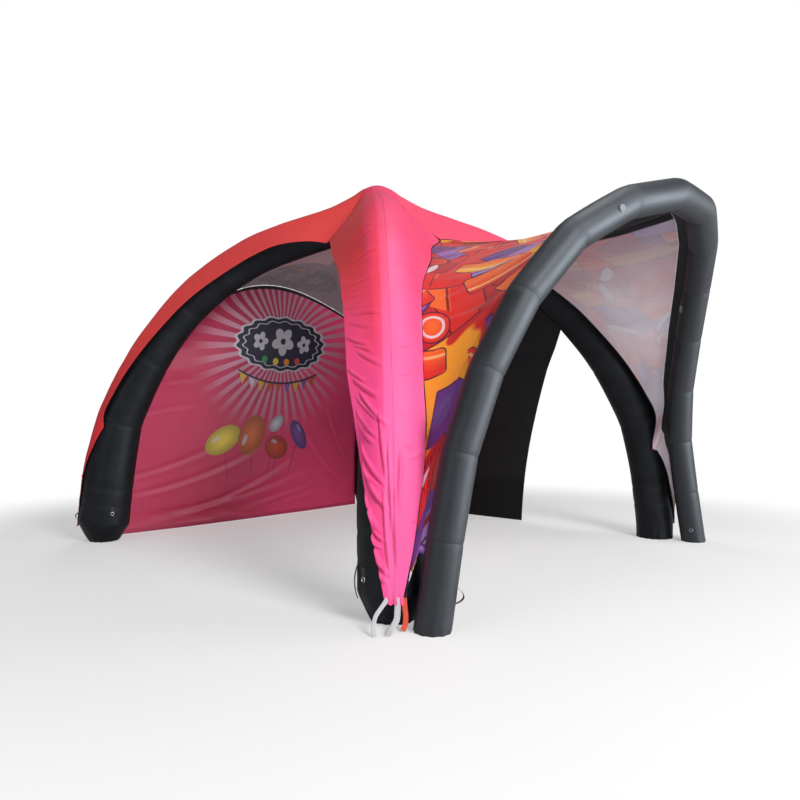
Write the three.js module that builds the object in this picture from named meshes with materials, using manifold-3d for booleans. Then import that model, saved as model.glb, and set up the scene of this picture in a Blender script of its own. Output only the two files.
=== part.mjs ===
// Inflatable dome tent with a stretched awning: four air-filled legs that meet at a crown, a cover cut
// in eight panels over them, two roof panels, a full wall, a half wall, and an awning that an
// air-filled arch holds out from one side. Millimetres, +Z up, the crown over the middle of the four feet.
import * as THREE from 'three';
import { mergeVertices } from 'three/addons/utils/BufferGeometryUtils.js';
import Module from 'manifold-3d';

const wasm = await Module();
wasm.setup();

// Driving dimensions
const REACH = 3100;           // nominal distance from the crown's axis to the middle of a foot
const LEG_RADIUS = 206;       // leg tube along its upper two thirds
const ARCH_RADIUS = 122;      // awning arch tube
const SHEET = 2;              // coated cloth
const WEBBING = 3;            // bands, straps and handles
const COVER_SEAT = 0.6;       // cover's ridge to a leg tube
const COVER_CLEARANCE = 9;    // cover's flanks to a leg tube
const RIDGE_GAP = 0.4;        // between the two panels of an arm, at its ridge
const VALLEY_GAP = 1.8;       // from a panel to the plane where two arms meet
const MITRE_GAP = 0.3;        // from a leg tube to that plane, along the leg
const SEAM_GAP = 0.5;         // between panels that are sewn edge to edge
const EDGE_STEP = 0.5;        // from a cover's free edge to the line that the next panel starts from
const WALL_SEAT = 0.7;        // from a wall's side edges to the leg tubes
const WALL_DROP = 5;          // from a wall's upper edges down to the cover
const FLOOR_CLEARANCE = 20;   // lower hem of the walls above the ground
const INSIDE = new THREE.Vector3(0, 0, 1200);   // a point that every panel faces with its inner side

// One leg's centre line from foot to crown, and the cover on it. along and height place the centre line,
// swell is the share of the leg's own swelling, cover is the cover's half width, and lift places its
// free edge above (+) or below (-) the centre line.
const LEG_COLUMNS = ['along', 'height', 'swell', 'cover', 'lift'];
const LEG_ROWS = [
  [3100, 0, 1, 0, 0],
  [3096, 190, 1, 62, 0],
  [3066, 465, 1, 121, 0],
  [3035, 735, 1, 167, 0],
  [2979, 1029, 0.76, 214, 0],
  [2905, 1324, 0.5, 245, 105],
  [2799, 1566, 0.43, 263, 93],
  [2641, 1872, 0.25, 279, 56],
  [2499, 2099, 0.12, 291, 22],
  [2310, 2344, 0, 313, -9],
  [2136, 2545, 0, 341, -37],
  [1872, 2781, 0, 391, -74],
  [1618, 2961, 0, 434, -96],
  [1345, 3122, 0, 462, -105],
  [1097, 3230, 0, 477, -112],
  [830, 3326, 0, 492, -169],
  [690, 3374, 0, 512, -228],
  [573, 3412, 0, 560, -299],
  [388, 3484, 0, 560, -315],
  [160, 3606, 0, 560, -330],
  [14, 3690, 0, 560, -330],
].map((row) => Object.fromEntries(row.map((value, i) => [LEG_COLUMNS[i], value])));
const HEM_ROW = 1;            // the cover's hem
const WALL_SEAM_ROW = 8;      // from here up the walls are sewn to the cover's edge
const WALL_TOP_ROW = 11;      // upper corners of the walls
const LEG_END = { along: -132, height: 3606, swell: 0 };   // past the crown, where the mitre cuts it
const CROWN_STEPS = [0.35, 0.6, 0.82];                     // rows that a cover adds between the last two

// The legs in the order in which they follow each other round the crown. swell is how much fatter the
// foot is, base is the flat under the foot as a share of its radius, drape is how much lower the cover's
// edges hang at the leg's bend, and lean shifts the cover towards the leg before.
const LEGS = {
  front: { azimuth: -90, reach: 3007, swell: 0.17, base: 0.6, drape: 147, lean: 40 },
  right: { azimuth: 0, reach: 3130, swell: -0.04, base: 0.96, drape: 0, lean: 0 },
  back: { azimuth: 90, reach: 2914, swell: 0.17, base: 0.8, drape: 0, lean: 0 },
  left: { azimuth: 180, reach: 2992, swell: 0.27, base: 0.56, drape: 0, lean: 0 },
};
const AWNING_WEB = 155;       // extra width of the cover at the corner under the awning
const WEB_LENGTH = 800;       // how far down the legs that extra width runs out

// Awning arch: centre line in the awning's own directions, out from the crown's axis, to the side and up
const ARCH_COLUMNS = ['out', 'side', 'up'];
const ARCH_ROWS = [
  [2487, -2153, 0],
  [2582, -1925, 1268],
  [2796, -1580, 2148],
  [3063, -1080, 2731],
  [3286, -480, 2972],
  [3325, 0, 3056],
  [3286, 458, 2990],
  [3063, 1071, 2731],
  [2796, 1563, 2148],
  [2582, 1913, 1268],
  [2622, 2238, 0],
].map((row) => Object.fromEntries(row.map((value, i) => [ARCH_COLUMNS[i], value])));
const ARCH_STEPS = 34;
const AWNING_AZIMUTH = -45;
const AWNING_SPAN = [0.055, 0.945];   // share of the arch's length that the awning is sewn to
const AWNING_SAG = 110;
const AWNING_BAND = 75;               // dark band between the awning and the arch
const BAND_TOP = 170;                 // how much wider that band is where the arch is highest
const BAND_TOP_SPAN = [0.37, 0.56];   // share of the arch's length over which it is wider
const BAND_MOST = 0.4;                // but at most this share of the way to the cover
const ARCH_SEAT = 1.13;               // from that band to the arch

// Walls: their middle lies on a plane that leans in
const WALL_FOOT = 2190;       // distance of that plane from the crown's axis at the ground
const WALL_LEAN = 0.166;
const WALL_RISE = 290;        // how far the top of a wall arches up between its corners
const WALL_BAND = 45;         // dark band along that top
const WALL_TOP_SPAN = [0.03, 0.97];   // share of that top that a roof panel is sewn to
const ROOF_BILLOW = 40;

const MATERIALS = {
  tube: { color: 0x2b2d31, roughness: 0.45 },
  cover: { color: 0xf0337f, roughness: 0.55 },
  wall: { color: 0xb62f60, roughness: 0.6 },
  roof: { color: 0xd8cfd6, roughness: 0.6 },
  dark_cloth: { color: 0x232427, roughness: 0.6 },
  awning: { color: 0xe2562d, roughness: 0.55 },
  webbing: { color: 0xe6e6e8, roughness: 0.7 },
  ribbon: { color: 0xe8452f, roughness: 0.5 },
  metal: { color: 0xc4c7cb, roughness: 0.25, metalness: 1 },
  plastic: { color: 0x17181a, roughness: 0.4 },
};
const tent = new THREE.Group();

function add(name, slot, geometry) {
  const material = new THREE.MeshStandardMaterial({ metalness: 0, ...MATERIALS[slot] });
  const mesh = new THREE.Mesh(geometry, material);
  mesh.name = name;
  tent.add(mesh);
}

// ---- Closed solids ----

function solidFrom(points, triangles) {
  let volume = 0;
  for (const [a, b, c] of triangles) {
    volume += points[a].dot(new THREE.Vector3().crossVectors(points[b], points[c]));
  }
  const outward = volume > 0 ? triangles : triangles.map(([a, b, c]) => [a, c, b]);
  const geometry = new THREE.BufferGeometry();
  geometry.setAttribute('position', new THREE.Float32BufferAttribute(points.flatMap((p) => p.toArray()), 3));
  geometry.setIndex(outward.flat());
  geometry.computeVertexNormals();
  return geometry;
}

function gridNormal(grid, i, j) {
  const rows = grid.length - 1;
  const columns = grid[0].length - 1;
  const down = grid[Math.min(i + 1, rows)][j].clone().sub(grid[Math.max(i - 1, 0)][j]);
  const across = grid[i][Math.min(j + 1, columns)].clone().sub(grid[i][Math.max(j - 1, 0)]);
  const normal = down.cross(across).normalize();
  return normal.dot(grid[i][j].clone().sub(INSIDE)) < 0 ? normal.negate() : normal;
}

function offsetGrid(grid, distance) {
  return grid.map((row, i) => row.map((p, j) => p.clone().addScaledVector(gridNormal(grid, i, j), distance)));
}

// A sheet whose inner face is the grid and whose outer face lies away from the inside of the tent
function sheetSolid(grid, thickness) {
  const columns = grid[0].length;
  const count = grid.length * columns;
  const points = [...grid.flat(), ...offsetGrid(grid, thickness).flat()];
  const triangles = [];
  const quad = (a, b, c, d) => triangles.push([a, b, c], [a, c, d]);
  const at = (i, j) => i * columns + j;
  for (let i = 0; i < grid.length - 1; i++) {
    for (let j = 0; j < columns - 1; j++) {
      quad(at(i, j), at(i, j + 1), at(i + 1, j + 1), at(i + 1, j));
      quad(count + at(i, j), count + at(i + 1, j), count + at(i + 1, j + 1), count + at(i, j + 1));
    }
  }
  const rim = [];
  for (let j = 0; j < columns - 1; j++) rim.push([0, j]);
  for (let i = 0; i < grid.length - 1; i++) rim.push([i, columns - 1]);
  for (let j = columns - 1; j > 0; j--) rim.push([grid.length - 1, j]);
  for (let i = grid.length - 1; i > 0; i--) rim.push([i, 0]);
  rim.forEach(([i, j], k) => {
    const [m, n] = rim[(k + 1) % rim.length];
    quad(at(i, j), count + at(i, j), count + at(m, n), at(m, n));
  });
  return solidFrom(points, triangles);
}

// A tube through rings of equally many points, closed with a flat fan at each end
function ringSolid(rings) {
  const sides = rings[0].length;
  const points = rings.flat();
  const triangles = [];
  for (let i = 0; i < rings.length - 1; i++) {
    for (let j = 0; j < sides; j++) {
      const k = (j + 1) % sides;
      triangles.push([i * sides + j, i * sides + k, (i + 1) * sides + k]);
      triangles.push([i * sides + j, (i + 1) * sides + k, (i + 1) * sides + j]);
    }
  }
  const last = (rings.length - 1) * sides;
  for (let j = 1; j < sides - 1; j++) {
    triangles.push([0, j + 1, j]);
    triangles.push([last, last + j, last + j + 1]);
  }
  return solidFrom(points, triangles);
}

// A round section swept along a row of points, its frame carried along without twist
function sweptRings(path, radiusAt, sides) {
  let side = null;
  return path.map((p, i) => {
    const ahead = path[Math.min(i + 1, path.length - 1)];
    const behind = path[Math.max(i - 1, 0)];
    const tangent = ahead.clone().sub(behind).normalize();
    side = side ?? new THREE.Vector3().crossVectors(tangent, new THREE.Vector3(0.3, 1, 0.2)).normalize();
    side = side.clone().addScaledVector(tangent, -side.dot(tangent)).normalize();
    const across = new THREE.Vector3().crossVectors(tangent, side);
    return Array.from({ length: sides }, (_, j) => {
      const angle = (2 * Math.PI * j) / sides;
      const arm = side.clone().multiplyScalar(Math.cos(angle)).addScaledVector(across, Math.sin(angle));
      return p.clone().addScaledVector(arm, radiusAt(i));
    });
  });
}

// ---- Legs ----

const smooth = (t) => THREE.MathUtils.smoothstep(t, 0, 1);

const CROWN_REACH = 600;      // closer in than this, all legs are alike
const DRAPE_END = 1500;       // a cover drapes fully from CROWN_REACH + DRAPE_RAMP to here
const DRAPE_RAMP = 400;
const DRAPE_FALL = 1100;
const LEAN_FOOT = 1100;       // a cover leans from this height, fully from LEAN_RISE above it up to LEAN_TOP
const LEAN_RISE = 600;
const LEAN_TOP = 2300;
const LEAN_FALL = 700;

// A leg's own row: what sets it apart from the other legs leaves the crown as it is
function legRow(leg, row) {
  const share = smooth((row.along - CROWN_REACH) / (REACH - CROWN_REACH));
  const rise = smooth((row.along - CROWN_REACH) / DRAPE_RAMP);
  const bend = rise * (1 - smooth((row.along - DRAPE_END) / DRAPE_FALL));
  return {
    ...row,
    along: row.along * (1 + (leg.reach / REACH - 1) * share),
    radius: LEG_RADIUS * (1 + leg.swell * row.swell),
    lift: row.lift - leg.drape * bend,
    lean: leg.lean * smooth((row.height - LEAN_FOOT) / LEAN_RISE) * (1 - smooth((row.height - LEAN_TOP) / LEAN_FALL)),
  };
}

// The point that lies so far along a leg, to its side and up
function legPoint(leg, along, side, height) {
  const angle = THREE.MathUtils.degToRad(leg.azimuth);
  return new THREE.Vector3(
    along * Math.cos(angle) - side * Math.sin(angle),
    along * Math.sin(angle) + side * Math.cos(angle),
    height,
  );
}

// The rows of a leg, each with the outward direction of its section in the leg's own plane
function legSections(leg) {
  const rows = [...LEG_ROWS.map((row) => legRow(leg, row)), { ...LEG_END, radius: LEG_RADIUS }];
  return rows.map((row, i) => {
    const below = rows[Math.max(i - 1, 0)];
    const above = rows[Math.min(i + 1, rows.length - 1)];
    const length = Math.hypot(above.along - below.along, above.height - below.height);
    return { ...row, outAlong: (above.height - below.height) / length, outUp: (below.along - above.along) / length };
  });
}

function sectionPoint(leg, section, side, out) {
  return legPoint(leg, section.along + section.outAlong * out, side, section.height + section.outUp * out);
}

const LEG_SIDES = 16;

function legRings(leg) {
  return legSections(leg).map((section, i) => {
    const radius = i === 0 ? section.radius * leg.base : section.radius;
    const flat = i === 0 ? { ...section, outAlong: 1, outUp: 0 } : section;
    return Array.from({ length: LEG_SIDES }, (_, j) => {
      const angle = (2 * Math.PI * j) / LEG_SIDES;
      return sectionPoint(leg, flat, radius * Math.sin(angle), radius * Math.cos(angle));
    });
  });
}

function toManifold(geometry) {
  return new wasm.Manifold(new wasm.Mesh({
    numProp: 3,
    vertProperties: new Float32Array(geometry.attributes.position.array),
    triVerts: new Uint32Array(geometry.index.array),
  }));
}

function fromManifold(solid) {
  const mesh = solid.getMesh();
  const geometry = new THREE.BufferGeometry();
  geometry.setAttribute('position', new THREE.BufferAttribute(new Float32Array(mesh.vertProperties), 3));
  geometry.setIndex(new THREE.BufferAttribute(new Uint32Array(mesh.triVerts), 1));
  geometry.computeVertexNormals();
  return geometry;
}

// The quarter of space that belongs to a leg: the tubes are mitred against each other at the crown
function legQuarter(leg) {
  const far = 2 * REACH;
  const corners = [[MITRE_GAP, 0], [far, far - MITRE_GAP], [far, MITRE_GAP - far]];
  return ringSolid([-100, far].map((height) => corners.map(([along, side]) => legPoint(leg, along, side, height))));
}

for (const [name, leg] of Object.entries(LEGS)) {
  const whole = toManifold(ringSolid(legRings(leg)));
  add(`leg_${name}`, 'tube', fromManifold(whole.intersect(toManifold(legQuarter(leg)))));
}

// ---- Cover ----

const COVER_COLUMNS = 6;
const MOST_WRAP = 0.97;       // where a cover is as wide as its tube, it ends at this share of the radius

// A point of the arc that a cover makes round its tube: seated at the ridge, and clear at the flank
function arcPoint(radius, angle, share) {
  const reach = radius - (COVER_CLEARANCE - COVER_SEAT) * (1 - share ** 2) ** 2;
  return [reach * Math.sin(angle * share), reach * Math.cos(angle * share)];
}

// The cover's half section: round the tube from its ridge, then straight on to the free edge
function coverProfile(section, extra) {
  const radius = section.radius + COVER_CLEARANCE;
  const width = section.cover + extra;
  const reach = Math.hypot(width, section.lift);
  if (section.lift === 0 || reach <= radius) {
    const end = Math.asin(Math.min(width / radius, MOST_WRAP));
    return (share) => arcPoint(radius, end, share);
  }
  const turn = Math.atan2(width, section.lift) - Math.acos(radius / reach);
  const leave = [radius * Math.sin(turn), radius * Math.cos(turn)];
  return (share) => {
    if (share < 0.5) return arcPoint(radius, turn, 2 * share);
    const t = 2 * share - 1;
    return [leave[0] + (width - leave[0]) * t, leave[1] + (section.lift - leave[1]) * t];
  };
}

// One row of a cover panel, from the ridge to the free edge or to the valley between two arms
function coverRow(leg, side, section, web) {
  const profile = coverProfile(section, web - side * section.lean);
  const room = (share) => {
    const [across, out] = profile(share);
    return section.along + section.outAlong * out - across - VALLEY_GAP * Math.SQRT2;
  };
  let last = 1;
  if (room(1) < 0) {
    let low = 0;
    for (let step = 0; step < 40; step++) {
      const middle = (low + last) / 2;
      if (room(middle) < 0) last = middle;
      else low = middle;
    }
  }
  const points = Array.from({ length: COVER_COLUMNS + 1 }, (_, j) => {
    const [across, out] = profile((last * j) / COVER_COLUMNS);
    return sectionPoint(leg, section, side * Math.max(across, RIDGE_GAP / 2), out);
  });
  return { points, isFree: last === 1 };
}

// Between the last two rows a cover turns sharply, so it has rows between them, on the same tube
function crownSteps(sections) {
  const [before, top] = sections.slice(-2);
  const steps = CROWN_STEPS.map((t) => Object.fromEntries(
    Object.keys(top).map((key) => [key, THREE.MathUtils.lerp(before[key], top[key], t)]),
  ));
  return [...sections.slice(0, -1), ...steps, top];
}

// Panels are named after their leg and the leg that their side faces. edge runs from the hem to the corner,
// one step outside the free edge.
function coverPanel(leg, side, web) {
  const sections = crownSteps(legSections(leg).slice(HEM_ROW, LEG_ROWS.length));
  const rows = sections.map((section) => {
    const nearCorner = THREE.MathUtils.clamp(1 - (section.along - CROWN_REACH) / WEB_LENGTH, 0, 1);
    return coverRow(leg, side, section, section.lift === 0 ? 0 : web * nearCorner ** 2);
  });
  const corner = rows.findIndex((row) => !row.isFree);
  const edge = rows.slice(0, corner + 1).map(({ points }) => {
    const last = points[COVER_COLUMNS];
    const outward = last.clone().sub(points[COVER_COLUMNS - 1]).normalize();
    return last.clone().addScaledVector(outward, EDGE_STEP);
  });
  return { grid: rows.map((row) => row.points), edge };
}

const NEIGHBOURS = [['front', 'right'], ['right', 'back'], ['back', 'left'], ['left', 'front']];
const covers = {};
for (const [first, second] of NEIGHBOURS) {
  const web = first === 'front' ? AWNING_WEB : 0;
  covers[`${first}_${second}`] = coverPanel(LEGS[first], 1, web);
  covers[`${second}_${first}`] = coverPanel(LEGS[second], -1, web);
}
for (const [name, panel] of Object.entries(covers)) {
  add(`cover_${name}`, name === 'right_back' ? 'roof' : 'cover', sheetSolid(panel.grid, SHEET));
}

// A panel that is sewn to covers, cut back to a seam's gap from them
function trimmedPanel(grid, names) {
  let solid = toManifold(sheetSolid(grid, SHEET));
  for (const name of names) {
    const inner = offsetGrid(covers[name].grid, -SEAM_GAP);
    for (const row of inner) {
      const outward = row.at(-1).clone().sub(row.at(-2)).normalize();
      row.at(-1).addScaledVector(outward, SEAM_GAP);
    }
    solid = solid.subtract(toManifold(sheetSolid(inner, SHEET + 2 * SEAM_GAP)));
  }
  return fromManifold(solid.decompose().sort((a, b) => b.volume() - a.volume())[0]);
}

// ---- Walls ----

// The line that a wall follows down one leg: the leg's side, and higher up the cover's free edge
function wallLine(leg, side) {
  return legSections(leg).slice(0, WALL_TOP_ROW + 1).map((section, i) => {
    const beside = side * (section.radius + WALL_SEAT);
    if (i === 0) return legPoint(leg, section.along, beside, FLOOR_CLEARANCE);
    if (i < WALL_SEAM_ROW) return sectionPoint(leg, section, beside, 0);
    return sectionPoint(leg, section, side * (section.cover - WALL_DROP / 2), section.lift - WALL_DROP);
  });
}

// Rows from the ground to the top, the last two as far apart as the band on them is wide. The middle of
// each is pulled onto the leaning plane, and the higher rows arch up. from(start, end) gives the share of
// the width at which the wall starts.
function wallGrid(first, second, columns, from = () => 0) {
  const grid = wallRows(first, second, columns, from);
  const top = grid.pop();
  const bandFoot = top.map((p, j) => p.clone().lerp(grid.at(-1)[j], WALL_BAND / p.distanceTo(grid.at(-1)[j])));
  return [...grid, bandFoot, top];
}

function wallRows(first, second, columns, from) {
  const left = wallLine(LEGS[first], 1);
  const right = wallLine(LEGS[second], -1);
  const bisector = THREE.MathUtils.degToRad(LEGS[first].azimuth + 45);
  const out = new THREE.Vector3(Math.cos(bisector), Math.sin(bisector), 0);
  return left.map((start, i) => {
    const end = right[i];
    const begin = from(start, end);
    return Array.from({ length: columns + 1 }, (_, j) => {
      const share = begin + ((1 - begin) * j) / columns;
      const p = start.clone().lerp(end, share);
      const belly = 4 * share * (1 - share);
      p.z += WALL_RISE * belly * (i / WALL_TOP_ROW) ** 3;
      const pull = WALL_FOOT - WALL_LEAN * p.z - p.dot(out);
      return p.addScaledVector(out, pull * belly);
    });
  });
}

const leftWall = wallGrid('back', 'left', 12);
add('wall_left', 'wall', sheetSolid(leftWall, SHEET));

// The half wall's free edge swings from the middle of its side up to the right leg
function freeEdge(start, end) {
  const bisector = THREE.MathUtils.degToRad(LEGS.right.azimuth + 45);
  const sideways = new THREE.Vector3(Math.sin(bisector), -Math.cos(bisector), 0);
  const height = start.z / REACH;
  const target = (0.165 + 0.13 * height + 0.25 * height ** 2) * REACH;
  const share = (start.dot(sideways) - target) / (start.dot(sideways) - end.dot(sideways));
  return THREE.MathUtils.clamp(share, 0, 1);
}

const rightWall = wallGrid('right', 'back', 10, freeEdge);
add('wall_right', 'dark_cloth', sheetSolid(rightWall, SHEET));

// Dark band inside the top of a wall
function topBand(grid) {
  return offsetGrid(grid.slice(-2), -WEBBING - 0.5);
}
add('wall_band_left', 'dark_cloth', sheetSolid(topBand(leftWall), WEBBING));
add('wall_band_right', 'dark_cloth', sheetSolid(topBand(rightWall), WEBBING));

// ---- Roof panels ----

// Rows of points between two lines that run side by side, with a gap at each
function between(inner, outer, columns, shape) {
  return inner.map((start, i) => {
    const end = outer[i];
    const length = start.distanceTo(end);
    return Array.from({ length: columns + 1 }, (_, j) => {
      const share = THREE.MathUtils.lerp(SEAM_GAP / length, 1 - SEAM_GAP / length, j / columns);
      const p = start.clone().lerp(end, share);
      p.z += shape(share, i / (inner.length - 1));
      return p;
    });
  });
}

function pointOn(line, share) {
  const place = share * (line.length - 1);
  const i = Math.min(Math.floor(place), line.length - 2);
  return line[i].clone().lerp(line[i + 1], place - i);
}

// From the corner of the cover out to the top of the wall
function roofPanel(first, second, wall) {
  const start = WALL_TOP_ROW - HEM_ROW;
  const ahead = covers[`${first}_${second}`].edge.slice(start);
  const behind = covers[`${second}_${first}`].edge.slice(start, -1).reverse();
  const inner = [...ahead, ...behind];
  const top = wall.at(-1);
  const outer = inner.map((_, i) => {
    const p = pointOn(top, THREE.MathUtils.lerp(...WALL_TOP_SPAN, i / (inner.length - 1)));
    p.z += WALL_DROP;
    return p;
  });
  const billow = (across, along) => ROOF_BILLOW * 16 * across * (1 - across) * along * (1 - along);
  return trimmedPanel(between(inner, outer, 5, billow), [`${first}_${second}`, `${second}_${first}`]);
}
add('roof_left', 'roof', roofPanel('back', 'left', leftWall));
add('roof_right', 'roof', roofPanel('right', 'back', wallGrid('right', 'back', 12)));

// ---- Awning ----

function archPoint({ out, side, up }) {
  const angle = THREE.MathUtils.degToRad(AWNING_AZIMUTH);
  return new THREE.Vector3(
    out * Math.cos(angle) - side * Math.sin(angle),
    out * Math.sin(angle) + side * Math.cos(angle),
    up,
  );
}
const archCurve = new THREE.CatmullRomCurve3(ARCH_ROWS.map(archPoint), false, 'centripetal');
const archPath = archCurve.getSpacedPoints(ARCH_STEPS);
const ARCH_SIDES = 12;
const archRings = sweptRings(archPath, () => ARCH_RADIUS, ARCH_SIDES);
for (const ring of [archRings[0], archRings.at(-1)]) ring.forEach((p) => { p.z = 0; });
add('arch_tube', 'tube', ringSolid(archRings));

// The awning's inner line is the cover's free edge, from the front leg's hem round the corner
const awningInner = [...covers.front_right.edge, ...covers.right_front.edge.slice(0, -1).reverse()];
const cornerIndex = covers.front_right.edge.length - 1;

// Its outer line follows the arch: the corner meets the arch's middle, and each side keeps its lengths
function awningShare(i) {
  const whole = (from, to) => {
    let length = 0;
    for (let k = from; k < to; k++) length += awningInner[k].distanceTo(awningInner[k + 1]);
    return length;
  };
  const [low, high] = AWNING_SPAN;
  if (i <= cornerIndex) return THREE.MathUtils.lerp(low, 0.5, whole(0, i) / whole(0, cornerIndex));
  const end = awningInner.length - 1;
  return THREE.MathUtils.lerp(0.5, high, whole(cornerIndex, i) / whole(cornerIndex, end));
}

function bandWidth(i) {
  const [low, high] = BAND_TOP_SPAN;
  const place = (awningShare(i) - low) / (high - low);
  return AWNING_BAND + BAND_TOP * smooth(1 - Math.abs(2 * place - 1));
}

function archSide(i, away) {
  const share = awningShare(i);
  const centre = archCurve.getPointAt(share);
  const tangent = archCurve.getTangentAt(share);
  const toInner = awningInner[i].clone().sub(centre);
  toInner.addScaledVector(tangent, -toInner.dot(tangent));
  const room = toInner.length() - ARCH_RADIUS;
  return centre.addScaledVector(toInner.normalize(), ARCH_RADIUS + Math.min(away, room * BAND_MOST));
}
const awningOuter = awningInner.map((_, i) => archSide(i, bandWidth(i)));
const archSeam = awningInner.map((_, i) => archSide(i, ARCH_SEAT));
const sag = (across, along) => -AWNING_SAG * 4 * across * (1 - across) * Math.sin(Math.PI * along) ** 2;
const awningGrid = between(awningInner, awningOuter, 7, sag);
add('awning_panel', 'awning', trimmedPanel(awningGrid, ['front_right', 'right_front']));
add('awning_band', 'dark_cloth', sheetSolid(between(awningOuter, archSeam, 1, () => 0), WEBBING));

// ---- Fittings ----

// The face of a tube's ring that looks most nearly in a direction: its middle, its outward normal and the
// directions across it and up along it
function faceToward(rings, i, direction) {
  const ringCentre = rings[i].reduce((sum, p) => sum.add(p), new THREE.Vector3()).divideScalar(rings[i].length);
  const faces = rings[i].map((low, j) => {
    const k = (j + 1) % rings[i].length;
    const along = rings[i + 1][j].clone().add(rings[i + 1][k]).sub(low).sub(rings[i][k]).normalize();
    const across = rings[i][k].clone().add(rings[i + 1][k]).sub(low).sub(rings[i + 1][j]).normalize();
    const centre = low.clone().add(rings[i][k]).add(rings[i + 1][k]).add(rings[i + 1][j]).multiplyScalar(0.25);
    const normal = across.clone().cross(along).normalize();
    if (normal.dot(low.clone().sub(ringCentre)) < 0) normal.negate();
    if (along.z < 0) along.negate();
    return { centre, normal, along, across: along.clone().cross(normal) };
  });
  return faces.sort((a, b) => b.normal.dot(direction) - a.normal.dot(direction))[0];
}

function heading(degrees, rise = 0) {
  const angle = THREE.MathUtils.degToRad(degrees);
  return new THREE.Vector3(Math.cos(angle), Math.sin(angle), rise).normalize();
}

// A loose geometry as a closed one, laid on a face: its x across the tube, its y along it, its z outward
function laidOn(face, geometry, up, lift) {
  const closed = geometry.index ? geometry.clone() : geometry;
  closed.deleteAttribute('normal');
  closed.deleteAttribute('uv');
  const place = new THREE.Matrix4().makeBasis(face.across, face.along, face.normal);
  const spot = face.centre.clone().addScaledVector(face.along, up).addScaledVector(face.normal, lift);
  place.setPosition(spot);
  const laid = mergeVertices(closed, 1e-3).applyMatrix4(place);
  laid.computeVertexNormals();
  return laid;
}

const FITTING_SEAT = 0.5;     // fittings to the tube that they are sewn to
const STRAP_SEAT = 0.7;       // straps, outward and down from the hem that they are sewn to
const RING_RADIUS = 17;
const RING_WIRE = 2.5;
const TAB_WIDTH = 34;
const TAB_LENGTH = 58;

const legRingSets = Object.fromEntries(Object.entries(LEGS).map(([name, leg]) => [name, legRings(leg)]));
const tubes = { ...legRingSets, arch: archRings };

// Rings that hang from a short webbing tab near the feet. up is measured from the middle of the face.
const RING_COLUMNS = ['name', 'tube', 'row', 'heading', 'up'];
const RINGS = [
  ['left_foot', 'left', 1, 300, 2],
  ['front_foot', 'front', 1, 212, -48],
  ['arch_foot', 'arch', 33, 235, 30],
].map((row) => Object.fromEntries(row.map((value, i) => [RING_COLUMNS[i], value])));

for (const { name, tube, row, heading: way, up } of RINGS) {
  const face = faceToward(tubes[tube], row, heading(way));
  const ring = new THREE.TorusGeometry(RING_RADIUS, RING_WIRE, 8, 20);
  add(`ring_${name}`, 'metal', laidOn(face, ring, up, RING_WIRE + FITTING_SEAT));
  const tab = new THREE.BoxGeometry(TAB_WIDTH, TAB_LENGTH, WEBBING);
  const above = up + RING_RADIUS + RING_WIRE + FITTING_SEAT + TAB_LENGTH / 2;
  add(`ring_tab_${name}`, 'webbing', laidOn(face, tab, above, WEBBING / 2 + FITTING_SEAT));
}

// A flat handle that stands off its tube in a low arch between its two sewn ends
function handle(face, length, width, height, up) {
  const shape = new THREE.Shape();
  const half = length / 2;
  shape.moveTo(-half, 0);
  shape.quadraticCurveTo(0, 2 * height, half, 0);
  shape.lineTo(half, WEBBING);
  shape.quadraticCurveTo(0, 2 * height + WEBBING, -half, WEBBING);
  const strip = new THREE.ExtrudeGeometry(shape, { depth: width, bevelEnabled: false, curveSegments: 10 });
  strip.translate(0, 0, -width / 2);
  const axes = ['Y', 'Z', 'X'].map((axis) => new THREE.Vector3(axis === 'X', axis === 'Y', axis === 'Z'));
  strip.applyMatrix4(new THREE.Matrix4().makeBasis(...axes));
  return laidOn(face, strip, up, FITTING_SEAT);
}
const [HANDLE_LENGTH, HANDLE_WIDTH, HANDLE_RISE] = [222, 30, 22];
const [LOOP_LENGTH, LOOP_WIDTH, LOOP_RISE] = [100, 38, 46];
add('front_foot_handle', 'webbing', handle(faceToward(tubes.front, 1, heading(185)), HANDLE_LENGTH, HANDLE_WIDTH,
  HANDLE_RISE, -70));
add('left_foot_loop', 'webbing', handle(faceToward(tubes.left, 1, heading(217)), LOOP_LENGTH, LOOP_WIDTH,
  LOOP_RISE, -62));
add('arch_foot_loop', 'webbing', handle(faceToward(tubes.arch, 0, heading(0)), LOOP_LENGTH, LOOP_WIDTH,
  LOOP_RISE, 105));

// Air valve, near the top of the arch
const [VALVE_RADIUS, VALVE_HEIGHT, VALVE_ROW] = [28, 9, 12];
const valveFace = faceToward(archRings, VALVE_ROW, heading(-108, -0.5));
const valve = new THREE.CylinderGeometry(VALVE_RADIUS * 0.9, VALVE_RADIUS, VALVE_HEIGHT, 24);
valve.rotateX(Math.PI / 2);
add('arch_valve', 'plastic', laidOn(valveFace, valve, 85, VALVE_HEIGHT / 2 + FITTING_SEAT));

// Buckle and webbing tab, inside the far side of the arch
const [BUCKLE_WIDTH, BUCKLE_LENGTH, BUCKLE_THICKNESS, BUCKLE_ROW] = [44, 70, 8, 23];
const buckleFace = faceToward(archRings, BUCKLE_ROW, heading(205));
const buckle = new THREE.BoxGeometry(BUCKLE_WIDTH, BUCKLE_LENGTH, BUCKLE_THICKNESS);
add('arch_buckle', 'plastic', laidOn(buckleFace, buckle, 0, BUCKLE_THICKNESS / 2 + FITTING_SEAT));
const buckleTab = new THREE.BoxGeometry(BUCKLE_WIDTH - 8, BUCKLE_LENGTH, WEBBING);
add('arch_buckle_tab', 'ribbon', laidOn(buckleFace, buckleTab, BUCKLE_LENGTH + FITTING_SEAT,
  WEBBING / 2 + FITTING_SEAT));

// ---- Straps at the front foot ----

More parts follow.
